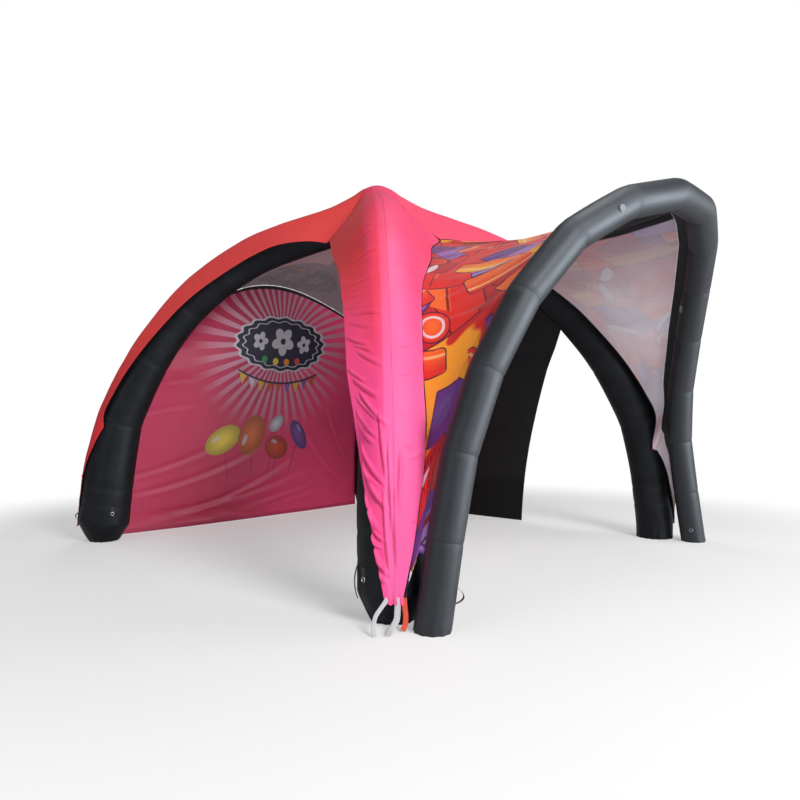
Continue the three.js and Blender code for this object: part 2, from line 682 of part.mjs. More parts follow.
// Where a strap leaves the hem of the front cover: side is how far from the ridge, as a share of the hem
function hemPoint(side) {
  const { grid } = covers[side < 0 ? 'front_left' : 'front_right'];
  const outer = offsetGrid(grid, SHEET + STRAP_SEAT);
  return pointOn(outer[0], Math.abs(side));
}

// steps are offsets from the point on the hem: to the side, towards the front and to a height
function strapPath(side, steps) {
  const start = hemPoint(side);
  start.z -= STRAP_SEAT;
  return [start, ...steps.map(([x, ahead, height]) => new THREE.Vector3(start.x + x, start.y - ahead, height))];
}

const STRAP_STEPS = 12;
const STRAP_THICKNESS = 1.5;

function flatStrap(path, width) {
  const curve = new THREE.CatmullRomCurve3(path, false, 'centripetal');
  const half = new THREE.Vector3(width / 2, 0, 0);
  const rings = curve.getSpacedPoints(STRAP_STEPS).map((p, i) => {
    const front = curve.getTangentAt(i / STRAP_STEPS).cross(half).setLength(STRAP_THICKNESS);
    return [p.clone().sub(half), p.clone().add(half), p.clone().add(half).add(front), p.clone().sub(half).add(front)];
  });
  return ringSolid(rings);
}
const TIE_LONG_WIDTH = 28;
const TIE_SHORT_WIDTH = 40;
const RIBBON_WIDTH = 14;
const TIE_CORD_RADIUS = 3;
add('tie_strap_long', 'webbing', flatStrap(strapPath(-0.7, [
  [-30, 22, 160],
  [-68, 60, 104],
  [-74, 110, 42],
  [-61, 148, 5],
]), TIE_LONG_WIDTH));
add('tie_strap_short', 'webbing', flatStrap(strapPath(0.3, [
  [-2, 10, 120],
  [-8, 24, 72],
  [-46, 74, 26],
  [-72, 134, 5],
]), TIE_SHORT_WIDTH));
add('pull_ribbon', 'ribbon', flatStrap(strapPath(0.95, [
  [3, 8, 150],
  [9, 18, 90],
  [4, 30, 40],
  [-8, 44, 8],
]), RIBBON_WIDTH));

// ---- Origin: the middle of the ground under the whole tent ----

const box = new THREE.Box3().setFromObject(tent);
const middle = box.getCenter(new THREE.Vector3());
tent.position.set(-middle.x, -middle.y, -box.min.z);

export default tent;
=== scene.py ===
"""The looks of an inflatable dome tent: four air-filled legs that meet at a crown, a printed cover in
eight panels, two roof panels, a full wall, a half wall, and an awning stretched to an air-filled arch.
Metres, in the frame's own axes: +Z up, the front leg towards -Y, the right leg towards +X.
"""
import math

import bpy
import numpy as np
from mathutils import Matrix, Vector


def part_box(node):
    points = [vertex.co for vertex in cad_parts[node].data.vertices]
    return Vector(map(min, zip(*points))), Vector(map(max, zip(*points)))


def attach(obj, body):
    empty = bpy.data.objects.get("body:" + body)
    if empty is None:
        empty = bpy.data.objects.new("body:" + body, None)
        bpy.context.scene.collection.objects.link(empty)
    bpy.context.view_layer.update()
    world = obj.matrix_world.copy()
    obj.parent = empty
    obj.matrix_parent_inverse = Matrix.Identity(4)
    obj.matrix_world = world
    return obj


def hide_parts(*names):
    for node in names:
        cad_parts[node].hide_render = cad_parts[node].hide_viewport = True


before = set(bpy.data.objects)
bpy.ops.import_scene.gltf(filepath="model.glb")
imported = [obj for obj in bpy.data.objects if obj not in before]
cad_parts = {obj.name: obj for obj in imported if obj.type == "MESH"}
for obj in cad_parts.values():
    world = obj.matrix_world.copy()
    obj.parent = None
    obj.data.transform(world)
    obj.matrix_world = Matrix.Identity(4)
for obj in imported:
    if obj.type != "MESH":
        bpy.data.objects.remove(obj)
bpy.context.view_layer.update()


# ---- Driving dimensions, all in metres ----

def centre(node, axis):
    low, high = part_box(node)
    return (low[axis] + high[axis]) / 2


# The front leg lies along Y and the left leg along X, so that each gives one coordinate of the crown
CROWN = np.array([centre("leg_front", 0), centre("leg_left", 1), 0.0])
REACH = 3.1                 # nominal distance from the crown's axis to the middle of a foot
LEG_RADIUS = 0.206
ARCH_RADIUS = 0.122
SHEET = 0.002
CREASE_CLEARANCE = 0.009    # cover to leg tube, at the flank
RIDGE_CLEARANCE = 0.003     # cover to leg tube, at the ridge
RIDGE_HALF_GAP = 0.0006
VALLEY_GAP = 0.0018
SEAM_GAP = 0.0008
FLOOR_CLEARANCE = 0.008
HEM_ROW = 1
WALL_SEAM_ROW = 8
WALL_TOP_ROW = 11

# One leg's centre line from foot to crown, and the cover on it. A row is along, height, swell (a share of the
# leg's own), the cover's half width and its lift from the centre line
LEG_ROWS = np.array([
    (3.100, 0.000, 1.00, 0.000, 0.000),
    (3.096, 0.190, 1.00, 0.062, 0.000),
    (3.066, 0.465, 1.00, 0.121, 0.000),
    (3.035, 0.735, 1.00, 0.167, 0.000),
    (2.979, 1.029, 0.76, 0.214, 0.000),
    (2.905, 1.324, 0.50, 0.245, 0.105),
    (2.799, 1.566, 0.43, 0.263, 0.093),
    (2.641, 1.872, 0.25, 0.279, 0.056),
    (2.499, 2.099, 0.12, 0.291, 0.022),
    (2.310, 2.344, 0.00, 0.313, -0.009),
    (2.136, 2.545, 0.00, 0.341, -0.037),
    (1.872, 2.781, 0.00, 0.391, -0.074),
    (1.618, 2.961, 0.00, 0.434, -0.096),
    (1.345, 3.122, 0.00, 0.462, -0.105),
    (1.097, 3.230, 0.00, 0.477, -0.112),
    (0.830, 3.326, 0.00, 0.492, -0.169),
    (0.690, 3.374, 0.00, 0.512, -0.228),
    (0.573, 3.412, 0.00, 0.560, -0.299),
    (0.388, 3.484, 0.00, 0.560, -0.315),
    (0.160, 3.606, 0.00, 0.560, -0.330),
    (0.014, 3.690, 0.00, 0.560, -0.330),
    (-0.132, 3.606, 0.00, 0.560, -0.330),
])
TOP_ROW = len(LEG_ROWS) - 2          # the crown; the last row only steers the curve
LEGS = {
    "front": dict(azimuth=-90, reach=3.007, swell=0.17, base=0.60, drape=0.147, lean=0.040),
    "right": dict(azimuth=0, reach=3.130, swell=-0.04, base=0.96),
    "back": dict(azimuth=90, reach=2.914, swell=0.17, base=0.80),
    "left": dict(azimuth=180, reach=2.992, swell=0.27, base=0.56),
}
CROWN_REACH = 0.6
DRAPE_END = 1.5
DRAPE_RAMP = 0.4
DRAPE_FALL = 1.1
LEAN_FOOT = 1.1
LEAN_RISE = 0.6
LEAN_TOP = 2.3
LEAN_FALL = 0.7
AWNING_WEB = 0.155
WEB_LENGTH = 0.8

# The awning arch's centre line: out from the crown's axis, to the side and up
ARCH_ROWS = np.array([
    (2.487, -2.153, 0.000),
    (2.582, -1.925, 1.268),
    (2.796, -1.580, 2.148),
    (3.063, -1.080, 2.731),
    (3.286, -0.480, 2.972),
    (3.325, 0.000, 3.056),
    (3.286, 0.458, 2.990),
    (3.063, 1.071, 2.731),
    (2.796, 1.563, 2.148),
    (2.582, 1.913, 1.268),
    (2.622, 2.238, 0.000),
])
AWNING_AZIMUTH = -45
AWNING_SPAN = (0.055, 0.945)
AWNING_SAG = 0.110
AWNING_BAND = 0.075
BAND_TOP = 0.170
BAND_TOP_SPAN = (0.37, 0.56)
BAND_MOST = 0.4

WALL_FOOT = 2.190
WALL_LEAN = 0.166
WALL_RISE = 0.290
WALL_BAND = 0.045
WALL_SEAT = -0.006          # into the tube, whose surface is drawn in at its seams
WALL_DROP = 0.005
WALL_TOP_SPAN = (0.03, 0.97)
ROOF_BILLOW = 0.040


# ---- Camera and stage ----

CAMERA_DISTANCE = 2.45 * REACH
CAMERA_HEIGHT = 0.4396 * REACH
CAMERA_YAW = math.radians(2.0)
CAMERA_SHIFT = (0.0288, 0.0196)      # the tent stands off the middle of the picture
LENS = 30.76


def make_camera():
    data = bpy.data.cameras.new("camera")
    data.lens = LENS
    data.sensor_width = 36.0
    data.shift_x, data.shift_y = CAMERA_SHIFT
    data.clip_end = 200.0
    camera = bpy.data.objects.new("camera", data)
    bpy.context.collection.objects.link(camera)
    offset = Vector((-math.sin(CAMERA_YAW), -math.cos(CAMERA_YAW), 0.0)) * CAMERA_DISTANCE
    camera.location = Vector(CROWN) + offset + Vector((0, 0, CAMERA_HEIGHT))
    camera.rotation_euler = (math.radians(90), 0.0, -CAMERA_YAW)
    bpy.context.scene.camera = camera


make_camera()


# ---- Numbers that nodes work out ----

def wire(tree, value, slot):
    """Links a field or a socket to a slot, or sets a constant there."""
    if isinstance(value, Field):
        value = value.socket
    if isinstance(value, bpy.types.NodeSocket):
        tree.links.new(value, slot)
    elif isinstance(value, tuple) and slot.type == "RGBA":
        slot.default_value = (*value, 1.0)
    else:
        slot.default_value = value


def add_node(tree, kind, inputs, **settings):
    node = tree.nodes.new("ShaderNode" + kind)
    for setting, value in settings.items():
        setattr(node, setting, value)
    for slot, value in inputs.items():
        wire(tree, value, node.inputs[slot])
    return node


def maths(kind):
    """A method that adds a Math node of that kind."""
    def method(self, *others):
        node = add_node(self.tree, "Math", dict(enumerate((self, *others))), operation=kind)
        return Field(self.tree, node.outputs[0])
    return method


class Field:
    """A number, colour or vector in a node tree; arithmetic on it adds Math nodes."""

    __add__, __sub__, __mul__, __truediv__ = map(maths, ("ADD", "SUBTRACT", "MULTIPLY", "DIVIDE"))
    abs, sin, cos, root, arctan2 = map(maths, ("ABSOLUTE", "SINE", "COSINE", "SQRT", "ARCTAN2"))
    fraction, floor, sign, most = map(maths, ("FRACT", "FLOOR", "SIGN", "MAXIMUM"))

    def __init__(self, tree, socket):
        self.tree = tree
        self.socket = socket

    def __neg__(self):
        return self * -1.0

    def step(self, low, high):
        """0 below low, 1 above high, and smooth between them; high may be the lower."""
        ends = (high, low, 1.0, 0.0) if high < low else (low, high, 0.0, 1.0)
        inputs = {"Value": self, **dict(zip(("From Min", "From Max", "To Min", "To Max"), ends))}
        node = add_node(self.tree, "MapRange", inputs, interpolation_type="SMOOTHSTEP")
        return Field(self.tree, node.outputs[0])


class Shade:
    """One material and the nodes that it is made of."""

    def __init__(self, name, roughness=0.55, sheen=0.0, specular=0.5, metallic=0.0):
        self.material = bpy.data.materials.new(name)
        self.material.use_nodes = True
        self.tree = self.material.node_tree
        self.shader = self.tree.nodes["Principled BSDF"]
        for slot, value in (("Roughness", roughness), ("Specular IOR Level", specular), ("Metallic", metallic),
                            ("Sheen Weight", sheen), ("Sheen Roughness", 0.4)):
            self.set(slot, value)
        self.at = self.made("TexCoord", {}, "Object")        # the point on the object, in metres

    def set(self, slot, value):
        wire(self.tree, value, self.shader.inputs[slot])

    def made(self, kind, inputs, output=0, **settings):
        return Field(self.tree, add_node(self.tree, kind, inputs, **settings).outputs[output])

    def attribute(self, name):
        """A number that the piece's mesh carries at each point."""
        return self.made("Attribute", {}, "Fac", attribute_name=name)

    def vector(self, x, y):
        return self.made("CombineXYZ", {0: x, 1: y})

    def split(self, vector):
        node = add_node(self.tree, "SeparateXYZ", {0: vector})
        return [Field(self.tree, output) for output in node.outputs]

    def noise(self, scale, detail=2.0, rough=0.5, distortion=0.0, at=None):
        return self.made("TexNoise", {"Vector": at or self.at, "Scale": scale, "Detail": detail, "Roughness": rough,
                                      "Distortion": distortion})

    def random(self, at, seed):
        """A number from 0 to 1 for each place."""
        return self.made("TexWhiteNoise", {"Vector": at, "W": seed}, "Value", noise_dimensions="4D")

    def mix(self, share, first, second):
        return self.made("Mix", {"Factor": share, "A": first, "B": second}, "Result", data_type="RGBA")

    def ramp(self, value, stops, kind="LINEAR"):
        node = add_node(self.tree, "ValToRGB", {0: value})
        node.color_ramp.interpolation = kind
        points = node.color_ramp.elements
        while len(points) < len(stops):
            points.new(0.5)
        for point, (place, colour) in zip(points, stops):
            point.position = place
            point.color = (*colour, 1.0)
        return Field(self.tree, node.outputs[0])

    def palette(self, value, colours):
        """One of the colours, each for an even share of the values from 0 to 1."""
        return self.ramp(value, [(k / len(colours), colour) for k, colour in enumerate(colours)], "CONSTANT")

    def bump(self, height, distance):
        self.set("Normal", self.made("Bump", {"Distance": distance, "Height": height}))

    def finish(self, colour, rough=None):
        self.set("Base Color", colour)
        if rough is not None:
            self.set("Roughness", rough)
        return self.material


def dimmer(colour, share):
    return tuple(share * c for c in colour)


# ---- Curves ----

def through_points(points, per_gap, keys=3):
    """A smooth curve through the points; the first keys columns say how far apart they are."""
    ends = np.vstack([2 * points[0] - points[1], points, 2 * points[-1] - points[-2]])
    gaps = np.linalg.norm(np.diff(ends[:, :keys], axis=0), axis=1) ** 0.5
    share = np.linspace(0, 1, per_gap, endpoint=False)[:, None]
    pieces = []
    for i in range(1, len(ends) - 2):
        before, start, end, after = ends[i - 1:i + 3]
        d0, d1, d2 = gaps[i - 1:i + 2]
        leave = ((start - before) / d0 - (end - before) / (d0 + d1) + (end - start) / d1) * d1
        arrive = ((end - start) / d1 - (after - start) / (d1 + d2) + (after - end) / d2) * d1
        square = -3 * start + 3 * end - 2 * leave - arrive
        cube = 2 * start - 2 * end + leave + arrive
        pieces.append(start + leave * share + square * share ** 2 + cube * share ** 3)
    return np.vstack([*pieces, points[-1:]])


def lengths(line):
    return np.concatenate([[0.0], np.cumsum(np.linalg.norm(np.diff(line, axis=0), axis=1))])


def sample(line, at, wanted):
    """Points of a line at the wanted values of at, which has a value for each of its points."""
    return np.stack([np.interp(wanted, at, column) for column in line.T], axis=-1)


def resample(line, count):
    at = lengths(line)
    return sample(line, at, np.linspace(0, at[-1], count))


def unit(vectors):
    return vectors / np.maximum(np.linalg.norm(vectors, axis=-1, keepdims=True), 1e-12)


def smoothstep(t):
    t = np.clip(t, 0, 1)
    return t * t * (3 - 2 * t)


def lerp(a, b, t):
    return a + (b - a) * t


# ---- Legs and covers as formulas ----

PER_ROW = 24                # points of a leg's curve from row to row
HALVINGS = 30               # steps of the search for the valley


class Leg:
    """A leg's sections at any row, whole or not."""

    def __init__(self, azimuth, reach, swell, base, drape=0.0, lean=0.0):
        rows = LEG_ROWS.copy()
        along = rows[:, 0]
        past = along - CROWN_REACH
        share = smoothstep(past / (REACH - CROWN_REACH))
        bend = smoothstep(past / DRAPE_RAMP) * (1 - smoothstep((along - DRAPE_END) / DRAPE_FALL))
        rows[:, 4] -= drape * bend
        rows[:, 0] = along * (1 + (reach / REACH - 1) * share)
        self.dense = through_points(rows, PER_ROW, keys=2)
        self.slope = unit(np.gradient(self.dense[:, :2], axis=0))
        self.rows = np.linspace(0, len(rows) - 1, len(self.dense))
        self.length = lengths(self.dense[:, :2])
        self.angle = math.radians(azimuth)
        self.swell, self.base, self.lean = swell, base, lean

    def at(self, row):
        """Facts of rows: along, height, radius, cover, lift, s from the foot, and the way out of the tube."""
        row = np.asarray(row, float)
        along, height, swell, cover, lift, to_along, to_up, s = (
            np.interp(row, self.rows, c) for c in (*self.dense.T, *self.slope.T, self.length))
        return dict(along=along, height=height, radius=LEG_RADIUS * (1 + self.swell * swell), cover=cover,
                    lift=lift, out_along=to_up, out_up=-to_along, s=s)

    def spaced(self, start, end, count):
        """Rows from start to end that lie evenly along the leg."""
        low, high = np.interp([start, end], self.rows, self.length)
        return np.interp(np.linspace(low, high, count), self.length, self.rows)

    def point(self, along, side, height):
        x = along * math.cos(self.angle) - side * math.sin(self.angle)
        y = along * math.sin(self.angle) + side * math.cos(self.angle)
        return np.stack(np.broadcast_arrays(x, y, height), axis=-1) + CROWN

    def section(self, at, side, out):
        return self.point(at["along"] + at["out_along"] * out, side, at["height"] + at["out_up"] * out)


LEG_SHAPES = {name: Leg(**facts) for name, facts in LEGS.items()}


def cover_turn(radius, width, lift):
    """How far round its tube each row of a cover lies, and the share of its width that this takes."""
    reach = np.hypot(width, lift)
    on_tube = reach <= radius
    on = np.arcsin(np.clip(width / radius, 0, 0.97))
    off = np.arctan2(width, lift) - np.arccos(np.clip(radius / np.maximum(reach, 1e-9), 0, 1))
    turn = np.where(on_tube, on, off)
    straight = np.sqrt(np.maximum(reach ** 2 - radius ** 2, 0))
    split = np.where(on_tube, 1.0, radius * turn / (radius * turn + straight))
    return turn, split


def cover_profile(at, width, share):
    """Across and out of the point at that share of each row's half width."""
    radius = at["radius"] + CREASE_CLEARANCE
    lift = at["lift"]
    turn, split = cover_turn(radius, width, lift)
    arc = np.clip(share / split, 0, 1)
    seat = radius - (CREASE_CLEARANCE - RIDGE_CLEARANCE) * (1 - arc ** 2) ** 2
    rest = np.clip((share - split) / np.maximum(1 - split, 1e-6), 0, 1)
    across = np.where(share < split, seat * np.sin(turn * arc), lerp(radius * np.sin(turn), width, rest))
    out = np.where(share < split, seat * np.cos(turn * arc), lerp(radius * np.cos(turn), lift, rest))
    return across, out


class CoverPanel:
    """Half of the cover on one leg, from the ridge to the free edge and the valley."""

    def __init__(self, leg, side, web, rows, columns):
        self.side = side
        self.row = leg.spaced(HEM_ROW, TOP_ROW, rows)
        at = leg.at(self.row)
        near = np.clip(1 - (at["along"] - CROWN_REACH) / WEB_LENGTH, 0, 1)
        leans = smoothstep((at["height"] - LEAN_FOOT) / LEAN_RISE) * smoothstep(
            (LEAN_TOP + LEAN_FALL - at["height"]) / LEAN_FALL)
        width = at["cover"] + np.where(self.row > 4, web * near ** 2, 0) - side * leg.lean * leans
        low, high = np.zeros(rows), np.ones(rows)
        cut = self.room(at, width, high) < 0
        for _ in range(HALVINGS):
            middle = (low + high) / 2
            outside = self.room(at, width, middle) < 0
            high = np.where(outside, middle, high)
            low = np.where(outside, low, middle)
        last = np.where(cut, low, 1.0)
        share = np.linspace(0, 1, columns)[None, :] * last[:, None]
        stacked = {name: value[:, None] for name, value in at.items()}
        across, out = cover_profile(stacked, width[:, None], share)
        self.points = leg.section(stacked, side * np.maximum(across, RIDGE_HALF_GAP), out)
        self.edge = self.points[:int(np.argmax(cut)) + 1, -1]
        steps = np.linalg.norm(np.diff(self.points, axis=1), axis=2)
        self.across = np.concatenate([np.zeros((rows, 1)), np.cumsum(steps, axis=1)], axis=1)
        self.up = np.broadcast_to((at["s"] - at["s"][0])[:, None], self.across.shape)

    def room(self, at, width, share):
        across, out = cover_profile(at, width, share)
        return at["along"] + at["out_along"] * out - across - VALLEY_GAP * math.sqrt(2)


# ---- Folds ----

def fold_height(x, y, strokes):
    """Soft creases at (x, y). A stroke is x0, y0, x1, y1, bend, width and height: a ridge that follows a
    bowed line, with a shallower trough beside it, and fades out at both ends."""
    total = np.zeros(np.broadcast(x, y).shape)
    for x0, y0, x1, y1, bend, width, height in strokes:
        length = math.hypot(x1 - x0, y1 - y0)
        tx, ty = (x1 - x0) / length, (y1 - y0) / length
        t = ((x - x0) * tx + (y - y0) * ty) / length
        off = (x - x0) * -ty + (y - y0) * tx - bend * 4 * t * (1 - t)
        fade = smoothstep(t / 0.25) * smoothstep((1 - t) / 0.35)
        near = width * (0.6 + 0.6 * np.clip(t, 0, 1))
        ridge = np.exp(-(off / near) ** 2) - 0.7 * np.exp(-((off + 1.45 * near) / (0.8 * near)) ** 2)
        total += height * fade * ridge
    return total


def ripple(x, y, wave, seed, layers=5):
    """Gentle unevenness of about that wavelength, between -1 and 1."""
    random = np.random.default_rng(seed)
    total = 0.0
    for _ in range(layers):
        angle = random.uniform(0, math.pi)
        size = wave * random.uniform(0.7, 1.6)
        phase = random.uniform(0, 2 * math.pi)
        total = total + np.sin((x * math.cos(angle) + y * math.sin(angle)) * 2 * math.pi / size + phase)
    return total / layers


# ---- Meshes ----

def grid_normals(points, away):
    """Normals of a grid of points, on the side that looks away from a point."""
    down = np.gradient(points, axis=0)
    across = np.gradient(points, axis=1)
    normals = unit(np.cross(down, across))
    facing = np.sum(normals * (points - away), axis=-1)
    return normals * (1.0 if np.median(facing) > 0 else -1.0)


def grid_faces(rows, columns, offset=0, flip=False):
    index = np.arange(rows * columns).reshape(rows, columns) + offset
    quads = np.stack([index[:-1, :-1], index[:-1, 1:], index[1:, 1:], index[1:, :-1]], axis=-1).reshape(-1, 4)
    return quads[:, ::-1] if flip else quads


def looks_out(points, faces, away):
    """Whether most of the faces look away from a point, or each from its own."""
    first, second, third = (points[faces[:, k]] for k in range(3))
    normals = np.cross(second - first, third - first)
    return np.median(np.sum(normals * (first - away), axis=1)) >= 0


def build(name, points, faces, materials, slots, attributes, sharp):
    """A smooth-shaded object from arrays of points and faces; an edge between sharp points stays sharp."""
    mesh = bpy.data.meshes.new(name)
    mesh.from_pydata(points.tolist(), [], [list(map(int, f)) for f in faces])
    for material in materials:
        mesh.materials.append(material)
    mesh.polygons.foreach_set("material_index", np.asarray(slots, np.int32))
    mesh.polygons.foreach_set("use_smooth", np.ones(len(mesh.polygons), bool))
    for key, values in attributes.items():
        made = mesh.attributes.new(key, "FLOAT", "POINT")
        made.data.foreach_set("value", np.asarray(values, np.float32).ravel())
    pairs = np.empty(2 * len(mesh.edges), np.int32)
    mesh.edges.foreach_get("vertices", pairs)
    mark = mesh.attributes.new("sharp_edge", "BOOLEAN", "EDGE")
    mark.data.foreach_set("value", sharp[pairs.reshape(-1, 2)].all(axis=1))
    mesh.update()
    piece = bpy.data.objects.new(name, mesh)
    bpy.context.collection.objects.link(piece)
    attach(piece, "root")
    return piece


INSIDE = CROWN + np.array([0.0, 0.0, 1.2])


def raised(points, height):
    """A grid of points, moved out from the tent's middle by a height."""
    return points + grid_normals(points, INSIDE) * height


def cloth(name, inner, materials, attributes, thickness=SHEET, edge_slot=0):
    """A closed sheet: inner is the grid of its inner face. materials are its outside and its inside."""
    rows, columns = inner.shape[:2]
    count = rows * columns
    points = np.concatenate([raised(inner, thickness).reshape(-1, 3), inner.reshape(-1, 3)])
    flip = not looks_out(points, grid_faces(rows, columns), INSIDE)
    index = np.arange(count).reshape(rows, columns)
    rim = np.concatenate([index[0, :-1], index[:-1, -1], index[-1, :0:-1], index[:0:-1, 0]])
    following = np.roll(rim, -1)
    sides = np.stack([rim, rim + count, following + count, following], axis=1)
    faces = [grid_faces(rows, columns, 0, flip), grid_faces(rows, columns, count, not flip),
             sides[:, ::-1] if flip else sides]
    slots = np.repeat([0, 1, edge_slot], [len(part) for part in faces])
    border = np.zeros(2 * count, bool)
    border[rim] = border[rim + count] = True
    doubled = {key: np.tile(values.ravel(), 2) for key, values in attributes.items()}
    return build(name, points, np.concatenate(faces), materials, slots, doubled, border)


def tube(name, node, rings, material, attributes=None):
    """A closed tube through rings of points, and the CAD node that it stands for."""
    count, sides = rings.shape[:2]
    index = np.arange(count * sides).reshape(count, sides)
    ahead = np.roll(index, -1, axis=1)
    quads = np.stack([index[:-1], ahead[:-1], ahead[1:], index[1:]], axis=-1).reshape(-1, 4)
    points = rings.reshape(-1, 3)
    faces = [*quads, index[0][::-1], index[-1]]
    if not looks_out(points, quads, np.repeat(rings.mean(axis=1)[:-1], sides, axis=0)):
        faces = [face[::-1] for face in faces]
    ends = np.zeros(len(points), bool)
    ends[index[[0, -1]]] = True
    piece = build(name, points, faces, [material], np.zeros(len(faces)), attributes or {}, ends)
    if node:
        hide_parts(node)
    return piece


def sweep(path, radius):
    """Rings round a path. radius has a row for each of its points and a column for each side of the tube."""
    tangents = unit(np.gradient(path, axis=0))
    side = unit(np.cross(tangents[0], (0.3, 1.0, 0.2)))
    frames = []
    for tangent in tangents:
        side = unit(side - tangent * np.dot(side, tangent))
        frames.append((side, np.cross(tangent, side)))
    angle = np.linspace(0, 2 * math.pi, radius.shape[1], endpoint=False)[:, None]
    first, second = (np.array(axis)[:, None, :] for axis in zip(*frames))
    return path[:, None, :] + radius[..., None] * (first * np.cos(angle) + second * np.sin(angle))


def sew(name, node, slot, points, materials, attributes, held, rests_on, **more):
    """A sheet, and the CAD node that it stands for, which it hides."""
    piece = cloth(name, points, materials, attributes, **more)
    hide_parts(node)


# ---- Cloth and other finishes ----

PINK = (0.92, 0.125, 0.360)
HOT_PINK = (0.92, 0.075, 0.185)
ROSE = (0.90, 0.072, 0.270)
CORAL = (0.84, 0.056, 0.058)
RASPBERRY = (0.78, 0.050, 0.170)
# Painted highlight: the lit strip beside the front cover's ridge
PAINTED_LIT_STRIP = (0.93, 0.055, 0.120)


def weave(shade):
    """The fine grain of a woven cloth, over softer unevenness."""
    fine = shade.noise(700.0, 1.0)
    soft = shade.noise(28.0, 3.0, 0.6)
    shade.bump(fine * 0.45 + soft * 2.2, 0.0005)


def tube_cloth(name, specular, roughness):
    """Coated black cloth, drawn tight over an air tube, with welded cross seams."""
    shade = Shade(name, specular=specular)
    shade.set("Specular Tint", (0.84, 0.91, 1.0))
    seam = shade.attribute("seam")
    line = seam.step(0.011, 0.004)
    tape = seam.step(0.034, 0.030)
    scuff = shade.noise(5.0, 5.0, 0.65)
    base = shade.mix(scuff.step(0.35, 0.75), (0.0045, 0.005, 0.006), (0.009, 0.010, 0.012))
    base = shade.mix(tape * 0.3, base, (0.016, 0.018, 0.021))
    grain = shade.noise(650.0, 1.0) * 0.25
    shade.bump(grain + shade.noise(16.0, 3.0, 0.6) * 1.6 - line * 1.2, 0.0009)
    return shade.finish(shade.mix(line * 0.8, base, (0.003, 0.003, 0.004)), scuff * 0.14 + roughness + tape * 0.05)


def cover_cloth(name, low, high, turn=(1.2, 3.4), ridge=None):
    """Printed polyester, its colour turning from low to high up the leg."""
    shade = Shade(name, specular=0.22)
    up = shade.attribute("up")
    across = shade.attribute("across").abs()
    cloud = shade.noise(2.3, 3.0, 0.55)
    colour = shade.mix((up + cloud * 0.8 - 0.4).step(*turn), low, high)
    if ridge is not None:
        # A painted highlight: a brighter strip beside the ridge, where the cloth lies on the tube and catches the
        # light, and the other half's colour comes a little way over it
        colour = shade.mix(across.step(0.25, 0.17) * up.step(1.2, 2.6), colour, PAINTED_LIT_STRIP)
        colour = shade.mix(across.step(0.072, 0.050), colour, shade.mix(up.step(*turn), *ridge))
    # Painted shade: the cloth is darker in the hollows of its creases, where shade would fall
    painted_crease_shade = shade.attribute("fold").step(-0.0004, -0.006)
    colour = shade.mix(painted_crease_shade * 0.48, colour, dimmer(high, 0.45))
    stitch = across.step(0.004, 0.0015) * up.step(2.0, 3.2)
    hem = up.step(0.030, 0.024)
    colour = shade.mix(stitch * 0.15 + hem * 0.2, colour, dimmer(high, 0.72))
    weave(shade)
    return shade.finish(shade.mix(cloud.step(0.45, 0.85) * 0.16, colour, dimmer(low, 0.8)), cloud * 0.14 + 0.47)


def lining_side(name, colour):
    """The paler inner side of a printed cloth."""
    shade = Shade(name, roughness=0.62, specular=0.25, sheen=0.2)
    weave(shade)
    return shade.finish(shade.mix(shade.noise(3.0, 4.0, 0.55), dimmer(colour, 0.82), colour))


def dark_cloth():
    """Plain black cloth, darkest where it nears the ground."""
    shade = Shade("dark_cloth", specular=0.25)
    cloud = shade.noise(3.5, 4.0, 0.6)
    foot = shade.split(shade.at)[2].step(0.58, 0.50)
    colour = shade.mix(cloud, (0.004, 0.0044, 0.0052), (0.011, 0.0115, 0.014))
    weave(shade)
    return shade.finish(shade.mix(foot * 0.9, colour, (0.0015, 0.0015, 0.0018)), cloud * 0.12 + 0.48)


def webbing(name, colour):
    """Flat woven strap with ribs across it."""
    shade = Shade(name, roughness=0.7, specular=0.3, sheen=0.3)
    ribs = (shade.split(shade.at)[2] * 2 * math.pi / 0.003).sin() * 0.5 + 0.5
    cloud = shade.noise(40.0, 3.0)
    shade.bump(ribs, 0.0004)
    return shade.finish(shade.mix(cloud * 0.6 + ribs * 0.25, colour, dimmer(colour, 0.62)))


def steel():
    shade = Shade("ring_steel", metallic=1.0)
    return shade.finish(shade.mix(shade.noise(120.0, 3.0), (0.45, 0.46, 0.48), (0.70, 0.71, 0.73)),
                        shade.noise(300.0, 2.0) * 0.2 + 0.18)


def moulded(name, colour):
    shade = Shade(name, roughness=0.42, specular=0.2)
    shade.bump(shade.noise(900.0, 2.0), 0.00012)
    return shade.finish(shade.mix(shade.noise(60.0, 3.0), colour, dimmer(colour, 1.5)))


# ---- Prints ----

def turned(x, y, angle):
    """x and y in axes turned by an angle, a number or a field."""
    c, s = (angle.cos(), angle.sin()) if isinstance(angle, Field) else (math.cos(angle), math.sin(angle))
    return x * c + y * s, y * c - x * s


def bar(x, y, half_length, half_width, corner):
    """Distance outside a rounded bar."""
    dx = (x.abs() - (half_length - corner)).most(0.0)
    dy = (y.abs() - (half_width - corner)).most(0.0)
    return (dx * dx + dy * dy).root() - corner


def oval(x, y, rx, ry):
    """Distance outside an oval, in shares of its size."""
    return ((x / rx) * (x / rx) + (y / ry) * (y / ry)).root() - 1.0


class Cells:
    """Scattered centres on a plane: local coordinates round the nearest, and a random number for each."""

    def __init__(self, shade, u, v, size, seed, jitter=0.8):
        u, v = u + seed * 7.31, v + seed * 3.77
        self.id = shade.made("TexVoronoi", {"Vector": shade.vector(u, v), "Scale": 1 / size, "Randomness": jitter},
                             "Position", voronoi_dimensions="2D")
        centre_u, centre_v, _ = shade.split(self.id)
        self.x, self.y = u - centre_u, v - centre_v
        self.shade, self.seed = shade, seed

    def random(self, which):
        return self.shade.random(self.id, self.seed + which)

    def turned(self):
        return turned(self.x, self.y, self.random(0.1) * 2 * math.pi)

    def colours(self, which, share, *palettes):
        """Each cell's own colour from either palette, mixed by a share."""
        return self.shade.mix(share, *(self.shade.palette(self.random(which), colours) for colours in palettes))


